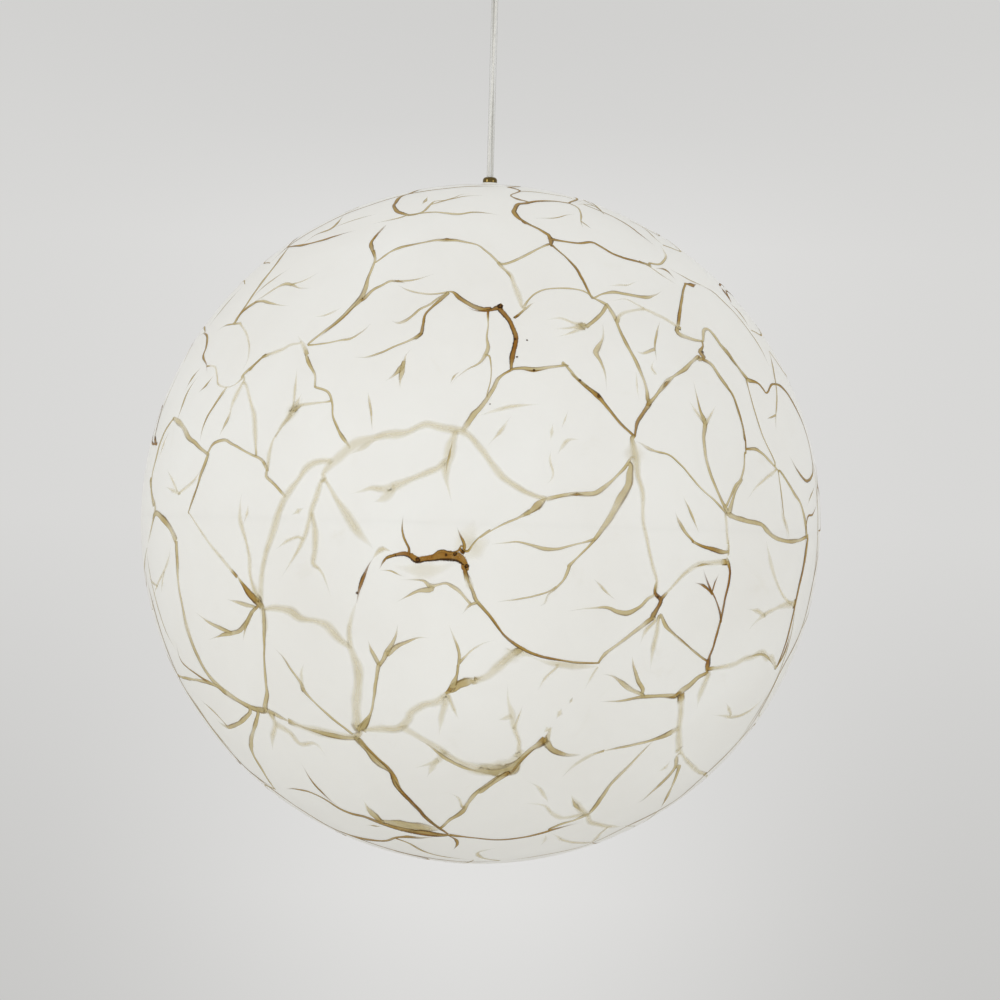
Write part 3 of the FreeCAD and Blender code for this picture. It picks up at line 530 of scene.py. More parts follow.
VEINS_CENTRE_LEFT = [
    (PALE, 7, "323,474,4 330,465,6 340,456,8 352,446,8 366,440,8 385,435,7 404,433,7 418,427,7 428,424,8 440,427,8 "
              "455,430,7 462,431,6 472,438,7 484,453,6 500,474,6 511,483,6 524,491,6 536,496,5 546,499,4"),
    (PALE, 5, "350,454,0.9 360,449,5 370,443,6 378,440,0.9"),
    (OLIVE, 3, "511,370,2 504,374,3 498,379,4 494,387,3.5 488,397,3.5 480,408,4 474,414,5 470,420,4 463,430,4"),
    (PALE, 8, "455,434,4 451,445,8 449,455,9 446,466,7 446,478,5 449,492,3 452,503,0.9"),
    (OLIVE, 2, "453,440,0.9 450,452 447,465 446,474,0.9"),
    (PALE, 6, "444,462,7 438,468,6 428,472,6 413,478,6 400,484,7 393,487,8 385,489,7 372,488,6 362,491,4 350,494,0.9"),
    (PALE, 6, "392,489,7 388,495,8 381,499,8 373,502,0.9"),
    (PALE, 7, "330,461,3 316,462,6 305,469,7 298,480,6 288,493,7 280,508,7 273,531,7 265,556,6 261,582,5 261,602,5"),
    (PALE, 7, "325,480,3 335,497,6 347,515,8 358,532,9 368,543,9 373,549,0.9"),
    (PALE, 6, "321,482,5 316,497,6 311,512,6 305,535,4 295,555,3 281,578,0.9"),
    (PALE, 4, "312,515,4 315,530,5 315,548,5 313,563,5 318,568,4 324,577,3 331,598,0.9"),
    (PALE, 3, "276,549,0.9 287,541,4 298,537,3"),
    (PALE, 3, "291,515,0.9 298,511,4 304,508,0.9"),
    (OLIVE, 5, "153,518,3 156,513,6 163,519,5 170,528,5 176,541,4"),
    (OLIVE, 2, "150,480,2 152,495,2 155,507,3 153,520,3 150,534,2 147,548,0.9"),
    (OLIVE, 3.5, "176,541,4 177,560,3 178,582,3 183,610,3.5 188,632,4 196,653,4.5 206,672,4 219,687,4 237,700,4 "
                 "252,708,4 265,711,5"),
    (PALE, 2, "171,545,2 168,560,3 163,573,2.5 157,585,2 153,600,0.9"),
    (PALE, 2, "164,572,2 162,583,2 161,594,0.9"),
    (PALE, 2, "148,575,0.9 152,582,2.5 157,586,2"),
    (OLIVE, 5, "252,708,3 260,710,6 268,711,5 280,717,4 300,727,0.9"),
    (PALE, 8, "288,721,4 300,726,6 320,732,8 340,736,9 355,737,8"),
    (OLIVE, 3, "290,722,0.9 305,728,3 325,734,4 345,738,4 357,738,3"),
    (OLIVE, 6, "349,732,0.9 357,735,7 364,732,0.9"),
    (PALE, 2.5, "191,516,1.5 206,539,2.5 222,559,3 237,577,2"),
    (BROWN, 4, "236,575,2 243,585,3 248,592,5 253,598,6 258,603,7 261,606,6"),
    (DARK, 1.2, "240,582,0.9 245,591,1.5 250,598,1.5 257,606,0.9"),
    (PALE, 3, "242,492,0.9 240,505,3 240,520,4 245,538,4 249,556,3.5 250,575,3.5 254,590,4 259,602,4"),
    (PALE, 3, "248,503,0.9 247,513,4 243,524,0.9"),
    (SMOKE, 10, "252,580 257,592 260,604"),
    (OLIVE, 2.5, "263,608,2.5 264,620,3.5 264,640,2.5 264,659,2 266,684,2.5 267,695,4 265,707,4"),
    (PALE, 5, "262,608,5 265,625,5 265,645,0.9"),
    (PALE, 6, "264,609,4 275,608,6 290,611,7 300,618,7 315,621,7 326,625,7 333,632,7 340,640,7 349,646,5"),
    (OLIVE, 3, "258,606,4 252,612,3.5 247,622,4 240,630,5 233,633,4 222,635,3 208,640,0.9"),
    (OLIVE, 2.5, "231,633,3 220,628,4 208,622,3 195,612,0.9"),
    (OLIVE, 3, "227,599,0.9 236,602,3 247,605,4.5 254,607,2"),
    (OLIVE, 2, "252,612,3 246,625,3 243,641,0.9"),
    (SMOKE, 16, "452,560 462,545 470,532 474,520"),
    (SMOKE, 12, "395,566 415,570 435,570 455,564"),
    (SMOKE, 18, "462,560 475,548 490,540"),
    (BROWN, 2, "379,569,0.9 383,562 388,557 396,555"),
    (DARK, 3, "386,558,2.5 395,555,3 405,554,3.5 411,556,4 417,560,5 424,559,5 432,558,6 441,556,7 450,556,8 457,557,9 "
              "462,560,8 466,565,5 467,569,3"),
    (DARK, 2, "432,556,1 438,552,3 444,551,3 450,553,3 458,551,3 461,546,1.5"),
    (BROWN, 2, "457,527,0.9 460,535,2.5 464,544,3 463,553,3"),
    (OLIVE, 1.5, "468,551 474,543,1.5 480,537,1.2 490,530"),
    (BROWN, 1.5, "403,515,0.8 402,528,1.5 404,538,2 409,549,1.5"),
    (DARK, 2.5, "373,559,0.9 370,563,2.5 366,571,3 362,580,3 359,590,3 357.5,599,2.5 356.5,604,0.9"),
    (PALE, 5, "372,560,0.9 374,557,5 378,552,5 383,549,5 393,552,0.9"),
    (PALE, 6, "357,598,0.9 355,606,5 352,615,6 349,630,6 350,645,6 354,657,6 358,668,8 358,685,8 356,705,8 358,727,9"),
    (OLIVE, 1.5, "380,570,0.9 390,571 397,574 404,577,0.9"),
    (DARK, 3, "463,566,4 466,573,3 469,583,1.5"),
    (OLIVE, 2.5, "466,575,2 472,590,2.5 476,600,3.5 485,610 500,630"),
    (PALE, 6, "465,572,3 470,585,6 475,600,0.9"),
    (OLIVE, 2.5, "401,580,0.9 414,580,2 424,581,3 430,586,5 437,585,3 446,583,2.5 455,588,3.5 461,593,3.5 467,600,3"),
    (OLIVE, 2, "431,589,4 418,591,2.5 406,597,2 397,602,0.9"),
    (OLIVE, 2, "476,603,3 469,606,3 462,614,0.9"),
]

VEINS_LOWER_LEFT = [
    (OLIVE, 3, "398,624,0.9 396,634,3 392,644,3.5 387,652,5 383,660,4 379,666,3.5"),
    (OLIVE, 2.5, "429,638,0.9 418,638,3 404,643,3 396,647,3.5 388,654,3"),
    (OLIVE, 2.5, "368,640,0.9 372,652,3 378,663,4"),
    (OLIVE, 3, "379,664,4 376,680,2.5 374,697,2.5 371,713,2.5 366,722,5 360,730,6"),
    (OLIVE, 4, "357,735,0.9 362,729,6 369,719,4 372,711,0.9"),
    (OLIVE, 2, "274,648,0.9 282,656,2 289,667,2.5 300,682,3 304,691,3 316,704,2 334,720,2 352,734,2"),
    (PALE, 3, "304,663,0.9 301,675,4 303,690,4"),
    (OLIVE, 5, "356,738,6 362,745,4 368,751,5 375,760,7 384,767,6 391,773,4"),
    (BROWN, 3, "358,739,2.5 367,748,2 377,758,2 388,768,3 393,776,4.5 397,786,5 403,794,4 411,802,3.5 419,810,4 "
               "425,817,4 436,826,3 448,834,2.5"),
    (DARK, 2, "391,773,0.9 396,783,3 403,793,2.5 415,805,2 425,817,3 437,827,2.5 448,834,0.9"),
    (PALE, 7, "365,730,6 380,729,7 397,729,8 407,721,8 412,712,8 424,705,8 437,702,8 445,695,6"),
    (OLIVE, 5, "446,693,4 451,690,8 458,685,6 466,682,7 474,680,6 484,676,0.9"),
    (BROWN, 3, "446,692,0.9 450,690,5 455,688,0.9"),
    (OLIVE, 3, "451,690,4 454,683,4 457,675,2 458,665,1.5"),
    (PALE, 8, "474,681,5 488,676,7 497,668,8 506,660,8 515,653,8 521,649,5"),
    (OLIVE, 2, "449,625,0.9 454,638,2.5 459,652,2 459,661,2.5 457,675,2"),
    (PALE, 1.5, "459,663 470,652,2 482,644,1.5 495,640,0.9"),
    (PALE, 5, "447,696,5 444,707,6 441,720,5 439,736,0.9"),
    (PALE, 3, "449,697,4 454,710,4 459,720,0.9"),
    (PALE, 7, "404,728,5 415,735,6 428,742,6 440,750,7 455,760,8 470,767,9 485,770,9 500,771,8"),
    (OLIVE, 2, "412,736,0.9 428,745,2.5 445,758,3 465,768,3 490,774,0.9"),
    (PALE, 4, "444,752,5 438,760,6 430,764,4 414,768,0.9"),
    (PALE, 5, "437,760,5 432,768,5 427,777,0.9"),
    (OLIVE, 3, "258,713,4 255,725,4 251,740,4 252,752,3 262,770,2 273,787,1.5"),
    (OLIVE, 3, "250,712,4 243,720,4 235,725,4 227,727,5 220,723,3 216,718,0.9"),
    (OLIVE, 1, "226,725 214,712,1.5 200,699,0.9"),
    (BROWN, 1.5, "176,643,0.9 181,661 196,674 212,684,2"),
    (OLIVE, 2.5, "178,676,2 196,680,3 214,685,3 226,693,3"),
    (PALE, 5, "272,716,5 275,726,6 272,738,5 273,751,0.9"),
    (PALE, 4, "277,725,5 290,733,4 300,744,4.5 315,744,4 327,757,0.9"),
    (BROWN, 1, "301,763,0.9 314,784,1.5 331,801,1.5 340,807,0.9"),
    (BROWN, 2.5, "286,789,1.2 294,789,1.5 309,792,1.5 324,799,1.5 340,809,2 352,814,2.5 365,817,2.5 380,823,4 400,829,5 "
                 "420,833,5 440,835,4 449,835,3"),
    (OLIVE, 12, "386,822,4 400,825,11 420,828,13 436,829,9 447,831,0.9"),
    (BROWN, 1.5, "449,835,2 474,838 500,840 531,836,2 556,829,2 578,823,1.5"),
    (BROWN, 4, "400,829,0.9 420,832,5 436,834,6 448,835,0.9"),
    (DARK, 1.5, "392,827,0.9 415,833,2 435,836,2 449,836,0.9"),
    (OLIVE, 4, "363,800,0.9 368,808,4 374,815,6 381,822,4"),
    (BROWN, 2.5, "449,836,2 456,840,3.5 457,845,2.5 453,850,0.9"),
    (OLIVE, 3, "441,828,2 450,820,3 462,812,4 468,803,3 475,794,3 486,786,3.5 500,776,3"),
    (PALE, 2, "449,793,0.9 458,798,2.5 462,807,2"),
    (BROWN, 2.5, "327,827,0.9 342,834,3 355,838,4 370,840,4 385,841,3 395,838,2 407,837,3.5 420,838,3 436,837,0.9"),
    (TAN, 1.5, "366,825,0.9 374,826,2 384,827,0.9"),
    (TAN, 1.5, "397,839 410,844 425,852 445,857 474,860,0.9"),
    (PALE, 2.5, "497,848,0.9 487,850,3 478,853,3 482,858,3 500,863,2"),
    (BROWN, 1.8, "143,572,0.9 150,608 163,648 181,684 201,717 224,748 245,768 273,791 303,814 331,829 360,842 393,854"),
    (BROWN, 1.5, "393,854 430,861 470,863 500,863,0.9"),
    (BROWN, 1.5, "225,757,0.9 243,769,3 262,781,3 275,789,0.9"),
    (TAN, 2, "181,684,0.9 196,705 215,732 240,760,0.9"),
    (TAN, 1, "146,545,0.9 150,575 158,608 166,632 176,650,0.9"),
]

VEINS_UPPER_RIGHT = [
    (OLIVE, 3, "512,369,2 522,368 534,369,3.5 551,367,2.5 568,365,2"),
    (BROWN, 1, "520,369,0.9 534,371,2 548,369,0.9"),
    (OLIVE, 2, "563,362,1.5 570,370,2.5 577,378 585,385,3 592,391,2.5"),
    (BROWN, 2.5, "572,374,1.5 584,385 597,395,4 604,403,2.5 612,413 622,425 634,436,2"),
    (BROWN, 3, "635,436,3 637,424,4.5 642,415,4 648,406,4 650,401,5"),
    (OLIVE, 3, "648,405,5 654,398,3.5 658,393,3 663,387,5 668,381,6 674,376,3 685,369,4 692,362,3 699,356,3"),
    (BROWN, 2, "661,390,0.9 666,384,4 671,379,0.9"),
    (BROWN, 3, "703,346,2 700,352,4 704,357,4 699,360,3"),
    (OLIVE, 3, "703,359,2 712,365,3 720,377,3 728,388,2.5 734,397,2.5 739,413,2 743,428,2 745,440,2"),
    (BROWN, 1.2, "715,368,0.9 728,387,1.4 738,408,1.4 745,436,1.4 746,453,1.2"),
    (OLIVE, 3, "747,449,2.5 755,449,3 762,453,3 768,459,2.5 777,469,2"),
    (OLIVE, 1.5, "745,453,2 744,467,2 741,479,2 735,487,2 727,505,2"),
    (OLIVE, 2, "693,379,0.9 697,397,1.5 701,412,2.5 705,422,5 704,438,3.5 706,457,3 711,475,2.5 718,492,2.5 724,505,2"),
    (PALE, 2, "689,400,0.9 697,413,3 704,421,3"),
    (PALE, 2, "716,406,0.9 711,415,3 706,423,3"),
    (PALE, 2, "612,301,1.5 626,299,2 645,309,3 664,318,3 681,329,3"),
    (BROWN, 2.5, "686,283,1.5 683,291,2.5 681,305,2.5 679,317,3 678,327,3"),
    (OLIVE, 3, "677,331,4 681,335,4 692,339,3 702,341,2"),
    (BROWN, 3, "684,283,1 692,285,4 697,284,0.9"),
    (OLIVE, 2, "703,341,3 704,331,4 708,329,3 714,335,3 722,347,2 733,360,2.5 741,371,2.5 748,380,3"),
    (TAN, 1.5, "716,338,0.9 726,350,3 734,362,3 744,374,0.9"),
    (BROWN, 1.5, "748,380,3 758,383,2 764,390,2 767,393,2 773,384,2 784,389,2 796,408,2 806,429,2 813,453,1.5 813,472 "
                 "807,481,3 798,471,2 789,455,0.9"),
    (TAN, 1.5, "769,351,1 774,372 777,394 776,415 776,431,0.9"),
    (TAN, 1, "697,284,0.9 712,291 722,300 734,312 747,328 760,347 770,368,0.9"),
    (DARK, 2.5, "721,284,1 725,292,4 731,302,0.9"),
    (TAN, 1.5, "729,302 740,313 751,330,0.9"),
    (TAN, 1, "668,268,0.9 690,280 708,288,0.9"),
    (BROWN, 1.5, "655,268,0.9 666,270,2 676,280,0.9"),
    (OLIVE, 2, "603,323,0.9 603,337,3 598,348,5 596,353,5 601,362,2.5 605,373,2 607,391,0.9"),
    (OLIVE, 2.5, "660,321,0.9 657,332,3 655,345,2 657,363,0.9"),
    (PALE, 2.5, "636,351,0.9 643,353,3 655,349,3"),
    (PALE, 3, "617,322,2 620,315,3 630,311,3 645,309,3"),
    (PALE, 2, "654,360,0.9 652,368,3 656,374,3 650,372,0.9"),
    (PALE, 2, "636,368,0.9 637,385,2.5 639,400,0.9"),
    (PALE, 6, "632,438,5 634,448,7 636,460,7 638,475,5 643,495,4 643,518,3.5 648,544,4 653,567,4 657,582,3 655,595,3"),
    (SMOKE, 14, "632,438 634,450 635,470"),
    (OLIVE, 3.5, "632,457,2 625,467,3 614,479,3.5 605,487,4 596,493,4.5 585,494,5 572,494,3.5 555,497,2.5 546,499,4"),
    (OLIVE, 5, "548,497,0.9 544,500,6 537,506,7 530,512,6 524,515,3"),
    (OLIVE, 1.5, "529,512,3 518,518,2 505,523,1.5 492,530,1.2 480,538,1.2"),
    (BROWN, 2, "585,495,0.9 577,494,3 568,495,0.9"),
    (OLIVE, 4, "631,466,5 630,474,8 629,483,8.5 625,492,8 619,502,7 610,518,6 601,531,4 590,545,2 575,560,1.2 "
               "569,566,1.5"),
    (OLIVE, 2, "595,539,2.5 585,542 570,546 558,549,2.5 545,549,3 531,545,2.5 518,542,2 505,543,2 492,544,0.9"),
    (OLIVE, 3, "569,567,5 567,573,3.5 563,581,2 556,588,2 548,595,2 545,603,4 540,606,0.9"),
    (OLIVE, 1.5, "556,587,2 548,592,2 530,597 512,600 497,602,0.9"),
    (OLIVE, 1.5, "636,441,0.9 642,444,4 648,448,5 655,451,2 669,455,1.5 683,467 699,486 716,502 727,514,2"),
    (PALE, 2.5, "553,423,0.9 552,431,3.5 550,441,0.9"),
    (PALE, 2.5, "551,450,0.9 550,460,3 553,472,3 552,478,3.5 546,485,0.9"),
    (PALE, 3, "557,455,0.9 562,447,4 569,440,3 581,439,0.9"),
    (PALE, 1.5, "568,411,0.9 565,420,2 561,429,0.9"),
    (PALE, 4, "478,416,0.9 490,412,4 508,407,3.5 525,405,3 541,404,0.9"),
    (PALE, 3, "511,416,0.9 505,425,4 499,433,4 487,446,0.9"),
    (OLIVE, 2, "594,579,0.9 600,585,2.5 606,592,2.5 616,600,0.9"),
    (PALE, 3, "777,469,2.5 772,474,4 765,479,3 755,489,2.5 747,500,0.9"),
    (OLIVE, 2, "780,471,1.5 787,481 794,493,2.5 801,504,2 805,520,2.5 807,537,2"),
    (TAN, 1, "747,382 754,408 763,436 775,462"),
    (TAN, 1, "778,470 781,490 784,515 788,540,0.9"),
    (TAN, 1.5, "767,419,0.9 772,417 776,415"),
    (TAN, 1.2, "813,463,0.9 817,495 818,530 815,570 806,630,0.9"),
    (BROWN, 1.5, "817,503,0.9 813,514 808,517 806,530 805,552,0.9"),
    (TAN, 1.2, "815,485,0.9 811,496 807,506,0.9"),
]

VEINS_LOWER_RIGHT = [
    (BROWN, 2.2, "478,603,2 486,612,2.5 493,620,2.5 505,636,2.5 521,648,2.5 539,656 564,661,2 582,663,2 599,663,1.5"),
    (PALE, 6, "505,648,0.9 515,652,8 525,653,8 537,659,0.9"),
    (SMOKE, 14, "520,645 512,655 500,663"),
    (PALE, 6, "532,658,0.9 550,663,6 575,666,8 590,667,6 600,666,0.9"),
    (PALE, 2, "557,667,2 545,678,3 537,692,0.9"),
    (PALE, 2, "598,667,2 592,676,2 584,690,0.9"),
    (OLIVE, 3, "599,662,2 605,654,4 613,648,3.5 633,633,3 646,623,4 653,618,4"),
    (DARK, 3, "656,583,1.5 655,593,2.5 661,600,3.5 657,609,3 653,616,4"),
    (OLIVE, 3, "655,595,2.5 648,599,3 640,607,3 628,613,4 618,612,3.5 608,608,3 592,608,2 568,611,0.9"),
    (PALE, 4, "659,617,3 657,632,5 653,650,4 650,672,0.9"),
    (PALE, 3, "655,621,3 645,632,4 640,645,0.9"),
    (PALE, 3, "662,598,2 674,585,3 683,575,3 692,568,4 700,564,5 712,563,5 727,562,4"),
    (OLIVE, 1.5, "692,568,0.9 702,565,2 714,564,0.9"),
    (OLIVE, 2, "729,537,0.9 729,546,2.5 729,554,2"),
    (BROWN, 2.5, "692,541,2 702,546,3 712,549,4 722,552,4 729,552,3"),
    (OLIVE, 3, "675,511,0.9 679,521,4 685,532,3 694,542,2"),
    (OLIVE, 2, "683,496,0.9 687,504,2.5 692,515,2.5 699,533,0.9"),
    (PALE, 3, "728,540,0.9 728,550,3 728,561,0.9"),
    (DARK, 3, "727,559,4 730,570,2.5 729,582,2.5 725,600,2 721,620,2.4 718,630,2 714,645,2.4 710,656,2.4 708,665,5 707,671,3"),
    (DARK, 1.2, "695,583,0.9 703,585,2.5 709,590,2 712,594"),
    (DARK, 1.2, "703,568,0.9 706,578,2 710,588,2 716,600,1.5 720,612,2 721,622,1.5"),
    (DARK, 1.2, "719,574,0.9 715,583,1.5 713,590,1"),
    (OLIVE, 2.5, "661,614,2 666,626,3.5 675,635,2.5 690,648,2 700,656,2 707,661,2"),
    (BROWN, 1.2, "668,628,0.9 683,641,1.5 698,655,0.9"),
    (OLIVE, 3.5, "725,507,4 729,512,6 733,500,3 736,490,2.5 742,480,1.5"),
    (PALE, 3, "726,514,4 727,530,3 728,544,3"),
    (OLIVE, 3, "729,514,4 737,518,4 748,521,4 761,524,4 767,530,5 774,537,4 786,541,4 796,541,4 806,537,3"),
    (PALE, 3, "781,503,0.9 783,516,4 788,530,3 790,543,0.9"),
    (BROWN, 2.5, "808,537,2 806,552,3.5 803,570,3 798,592,2.5 792,620,2 786,643,2 777,667,1.5"),
    (PALE, 2.5, "766,539,0.9 770,559,3.5 776,580,3 784,597,3 792,604,3"),
    (PALE, 4, "795,604,6 785,605,5 775,609,4 763,616,4.5 755,623,4 747,632,0.9"),
    (PALE, 3, "747,609,0.9 757,611,4.5 765,616,4"),
    (PALE, 5, "708,669,3 722,667,4 735,664,4 744,659,5 752,657,5 758,654,6 763,653,6 767,658,5 772,658,5 776,668,3"),
    (OLIVE, 1.2, "740,660,0.9 756,655,2 766,656,2 775,668,0.9"),
    (OLIVE, 3, "600,702,0.9 620,701,2.5 643,697,3 664,696,4 676,696,5 682,691,5 690,685,4 699,677,4 707,673,4"),
    (BROWN, 2, "664,697,0.9 674,697,3 680,693,5 681,700,0.9"),
    (PALE, 4, "708,676,4 704,685,5 700,695,5 697,709,0.9"),
    (PALE, 6, "681,694,6 681,710,7 679,730,7 679,750,6"),
    (OLIVE, 3, "602,674,0.9 612,676,3 620,681,3.5 630,689,4 643,695,3.5"),
    (OLIVE, 2.5, "632,656,0.9 634,667,3 638,680,4 643,690,3"),
    (PALE, 4, "679,749,5 684,757,4 692,766,4.5 699,772,5 705,774,3"),
    (OLIVE, 3, "674,731,5 666,735,5 650,741,3 633,745,2.5 608,750,2 597,753,0.9"),
    (PALE, 3, "603,751,2 590,756,3.5 575,765,3.5 561,778,0.9"),
    (OLIVE, 2.5, "656,739,0.9 645,749,2.5 630,765,3 612,783,3.5 602,797,3.5 590,813,4"),
    (OLIVE, 3, "677,756,3 675,768,3.5 665,780,3 652,792,2.5 643,800,4 637,803,0.9"),
    (OLIVE, 2.5, "679,767,3 674,782,3 668,795,2.5 659,810,0.9"),
    (PALE, 3, "671,760,0.9 665,768,3 657,772,0.9"),
    (OLIVE, 8, "478,770,5 490,772,7 500,772,9 511,769,13 518,762,7 522,758,4"),
    (PALE, 12, "486,768,6 500,768,14 513,764,13 520,752,6"),
    (OLIVE, 4, "517,763,4 524,756,5 532,749,4.5 540,744,5 546,739,8"),
    (BROWN, 2, "502,776,0.9 511,773,4 520,762,2 532,751,2 543,743,0.9"),
    (OLIVE, 6, "551,725,0.9 549,734,6 546,741,9 550,748,5 556,752,5 566,755,4.5 577,755,5.5 581,755,2"),
    (BROWN, 3, "547,734,0.9 545,741,4 540,746,0.9"),
    (PALE, 4, "562,708,0.9 560,713,5 556,719,0.9"),
    (OLIVE, 3, "573,697,0.9 571,701,4 569,704,0.9"),
    (PALE, 5, "546,726,0.9 548,730,7 552,733,0.9"),
    (PALE, 4, "508,684,0.9 508,700,4 512,714,5 514,728,4.5 519,742,5 518,757,7"),
    (PALE, 2, "512,716,3 506,718,3 498,720,0.9"),
    (PALE, 2, "514,729,3 519,716,2 523,705,0.9"),
    (OLIVE, 4, "480,792,4 490,785,4 500,778,4 508,773,4"),
    (PALE, 6, "571,794,0.9 575,802,7 581,810,7 586,814,5"),
    (OLIVE, 3, "571,796,0.9 576,806,4 584,813,0.9"),
    (PALE, 4, "527,781,0.9 538,787,3.5 545,797,4 548,803,0.9"),
    (PALE, 3, "523,804,0.9 534,804,3 545,806,3 552,813,4 562,818,4 575,816,4 586,814,6"),
    (OLIVE, 2, "586,815,4 575,820,2 562,824,2 550,829,1.5"),
    (PALE, 4, "588,816,5 590,822,5 600,825,5 612,827,4 625,826,0.9"),
    (PALE, 3, "551,833,0.9 558,837,3 565,841,3.5 580,843,3 592,842,3 600,834,3 608,827,1.5"),
    (PALE, 3, "546,834,0.9 545,840,3 540,846,0.9"),
    (TAN, 1, "500,862,0.9 544,855 582,847 600,840 628,826,0.9"),
    (BROWN, 1.4, "819,531,0.9 818,556 812,587 804,630 781,671 761,710 745,735 704,776 676,803 628,826 592,843,0.9"),
    (TAN, 1, "796,600,0.9 790,640 776,680 756,715 735,745,0.9"),
    (PALE, 4, "726,703,0.9 729,709,4 731,715,3"),
    (PALE, 3, "713,715,0.9 724,716,3 735,717,4 748,712,3 758,704,2 766,695,0.9"),
    (BROWN, 2, "777,667,2 785,652,2.5 791,630,0.9"),
]

# Near-black flecks: x, y and width, in pixels.
FLECKS = ("500,306,4 599,396,3 580,380,2 534,370,2 515,339,1.8 527,340,1.5 517,357,1.5 490,404,1.2 418,560,3.5 455,554,3 "
          "463,552,2.5 467,566,3 357,593,2 703,352,2 155,439,2 658,597,2 446,555,2")

STEP_ALONG = 2.2 * MM
BLEND_STEPS = 6
SMOKE_STRENGTH = 0.5
JOIN_REACH = 6 * MM
POINTED = 0.95
MEET = 0.8 * MM
MOST_SLANT = 3.0
SLANT_SHARE = 0.6
WIDEST = 12 * MM


class Strokes:
    """Collects the vertices, faces and values of many strokes of stain for one piece."""

    def __init__(self):
        self.points = []
        self.faces = []
        self.values = {"across": [], "tone": [], "fade": [], "side": []}

    def add_vertex(self, point, across, tone, fade, side):
        self.points.append(point)
        for name, value in (("across", across), ("tone", tone), ("fade", fade), ("side", side)):
            self.values[name].append(value)
        return len(self.points) - 1

    def build(self, name, body):
        piece = add_mesh(name, self.points, self.faces, "vein_stain", body)
        for value_name, values in self.values.items():
            attribute = piece.data.attributes.new(value_name, "FLOAT", "POINT")
            attribute.data.foreach_set("value", values)
        return piece


def smooth_line(controls, widths, step):
    """A Catmull-Rom line through directions on the globe, resampled at an even step, with its width at each point."""
    if len(controls) == 2:
        controls = [controls[0], (controls[0] + controls[1]).normalized(), controls[1]]
        widths = [widths[0], (widths[0] + widths[1]) / 2, widths[1]]
    padded = [controls[0] * 2 - controls[1]] + controls + [controls[-1] * 2 - controls[-2]]
    line = []
    for index in range(1, len(padded) - 2):
        before, start, end, after = padded[index - 1:index + 3]
        count = max(1, round((end - start).length * GLOBE_RADIUS / step))
        for part in range(count):
            t = part / count
            point = 0.5 * (2 * start + (end - before) * t + (2 * before - 5 * start + 4 * end - after) * t**2
                           + (3 * start - before - 3 * end + after) * t**3)
            line.append((point.normalized(), widths[index - 1] * (1 - t) + widths[index] * t))
    line.append((controls[-1].normalized(), widths[-1]))
    return line


def on_lid(point):
    return math.hypot(point.x, point.y) < MOUTH_RADIUS and point.z < GLOBE_CENTRE.z


def blend(steps, length):
    """0 at a stroke's end, rising smoothly to 1 over a number of steps."""
    share = min(1.0, steps / length)
    return share * share * (3 - 2 * share)


def end_shape(steps, taper, join):
    """How wide, how strong and how much of its own tone a stroke is at some steps from one end."""
    if join:
        return 1.0, 1.0, blend(steps, BLEND_STEPS)
    share = min(1.0, steps / taper)
    return 0.2 + 0.8 * share, 0.15 + 0.85 * share, 1.0


def add_stroke(globe_paint, lid_paint, stroke, layer, rng):
    """Lay one stroke of stain on the globe."""
    tone, controls, widths, joins = stroke
    line = smooth_line(controls, widths, STEP_ALONG)
    if len(line) < 3:
        return
    radius = PAINT_RADIUS + layer * 0.0001 * MM
    phase = rng.uniform(0, 100)
    side = rng.choice((-1.0, 1.0)) * rng.uniform(0.4, 1.0)
    taper = max(2.0, min(12.0, len(line) * 0.4))
    margin = 1.5 if tone <= PALE else 1.25
    strength = SMOKE_STRENGTH if tone == SMOKE else 1.0
    rows = []
    for index, (normal, width) in enumerate(line):
        before, after = line[max(index - 1, 0)][0], line[min(index + 1, len(line) - 1)][0]
        sideways = (after - before).cross(normal).normalized()
        start_width, start_fade, start_own = end_shape(index, taper, joins[0])
        end_width, end_fade, end_own = end_shape(len(line) - 1 - index, taper, joins[1])
        swell = 1 + 0.42 * noise.noise(Vector((index * 0.13, phase, tone * 5)))
        for join, own in ((joins[0], start_own), (joins[1], end_own)):
            if join:
                width = width * own + join[1] * (1 - own)
        reach = min(WIDEST, width / 2 * margin * start_width * end_width * swell)
        fade = start_fade * end_fade * strength
        place = tone + 0.2 * noise.noise(Vector((index * 0.09, phase + 7, 3)))
        for join, own in ((joins[0], start_own), (joins[1], end_own)):
            if join:
                place = place * own + join[0] * (1 - own)
        shift = 0.35 * MM * noise.noise(Vector((index * 0.21, phase + 20, 9)))
        row = []
        for across in (-1, 0, 1):
            spot = normal * radius + sideways * (reach * across + shift)
            row.append((GLOBE_CENTRE + spot.normalized() * radius, across, place, fade, side))
        rows.append(row)
    numbers = {}
    for index in range(len(rows) - 1):
        middle = (rows[index][1][0] + rows[index + 1][1][0]) / 2
        paint = lid_paint if on_lid(middle) else globe_paint
        for column in (0, 1):
            corners = ((index, column), (index, column + 1), (index + 1, column + 1), (index + 1, column))
            face = []
            for corner in corners:
                key = (id(paint), corner)
                if key not in numbers:
                    numbers[key] = paint.add_vertex(*rows[corner[0]][corner[1]])
                face.append(numbers[key])
            paint.faces.append(face)


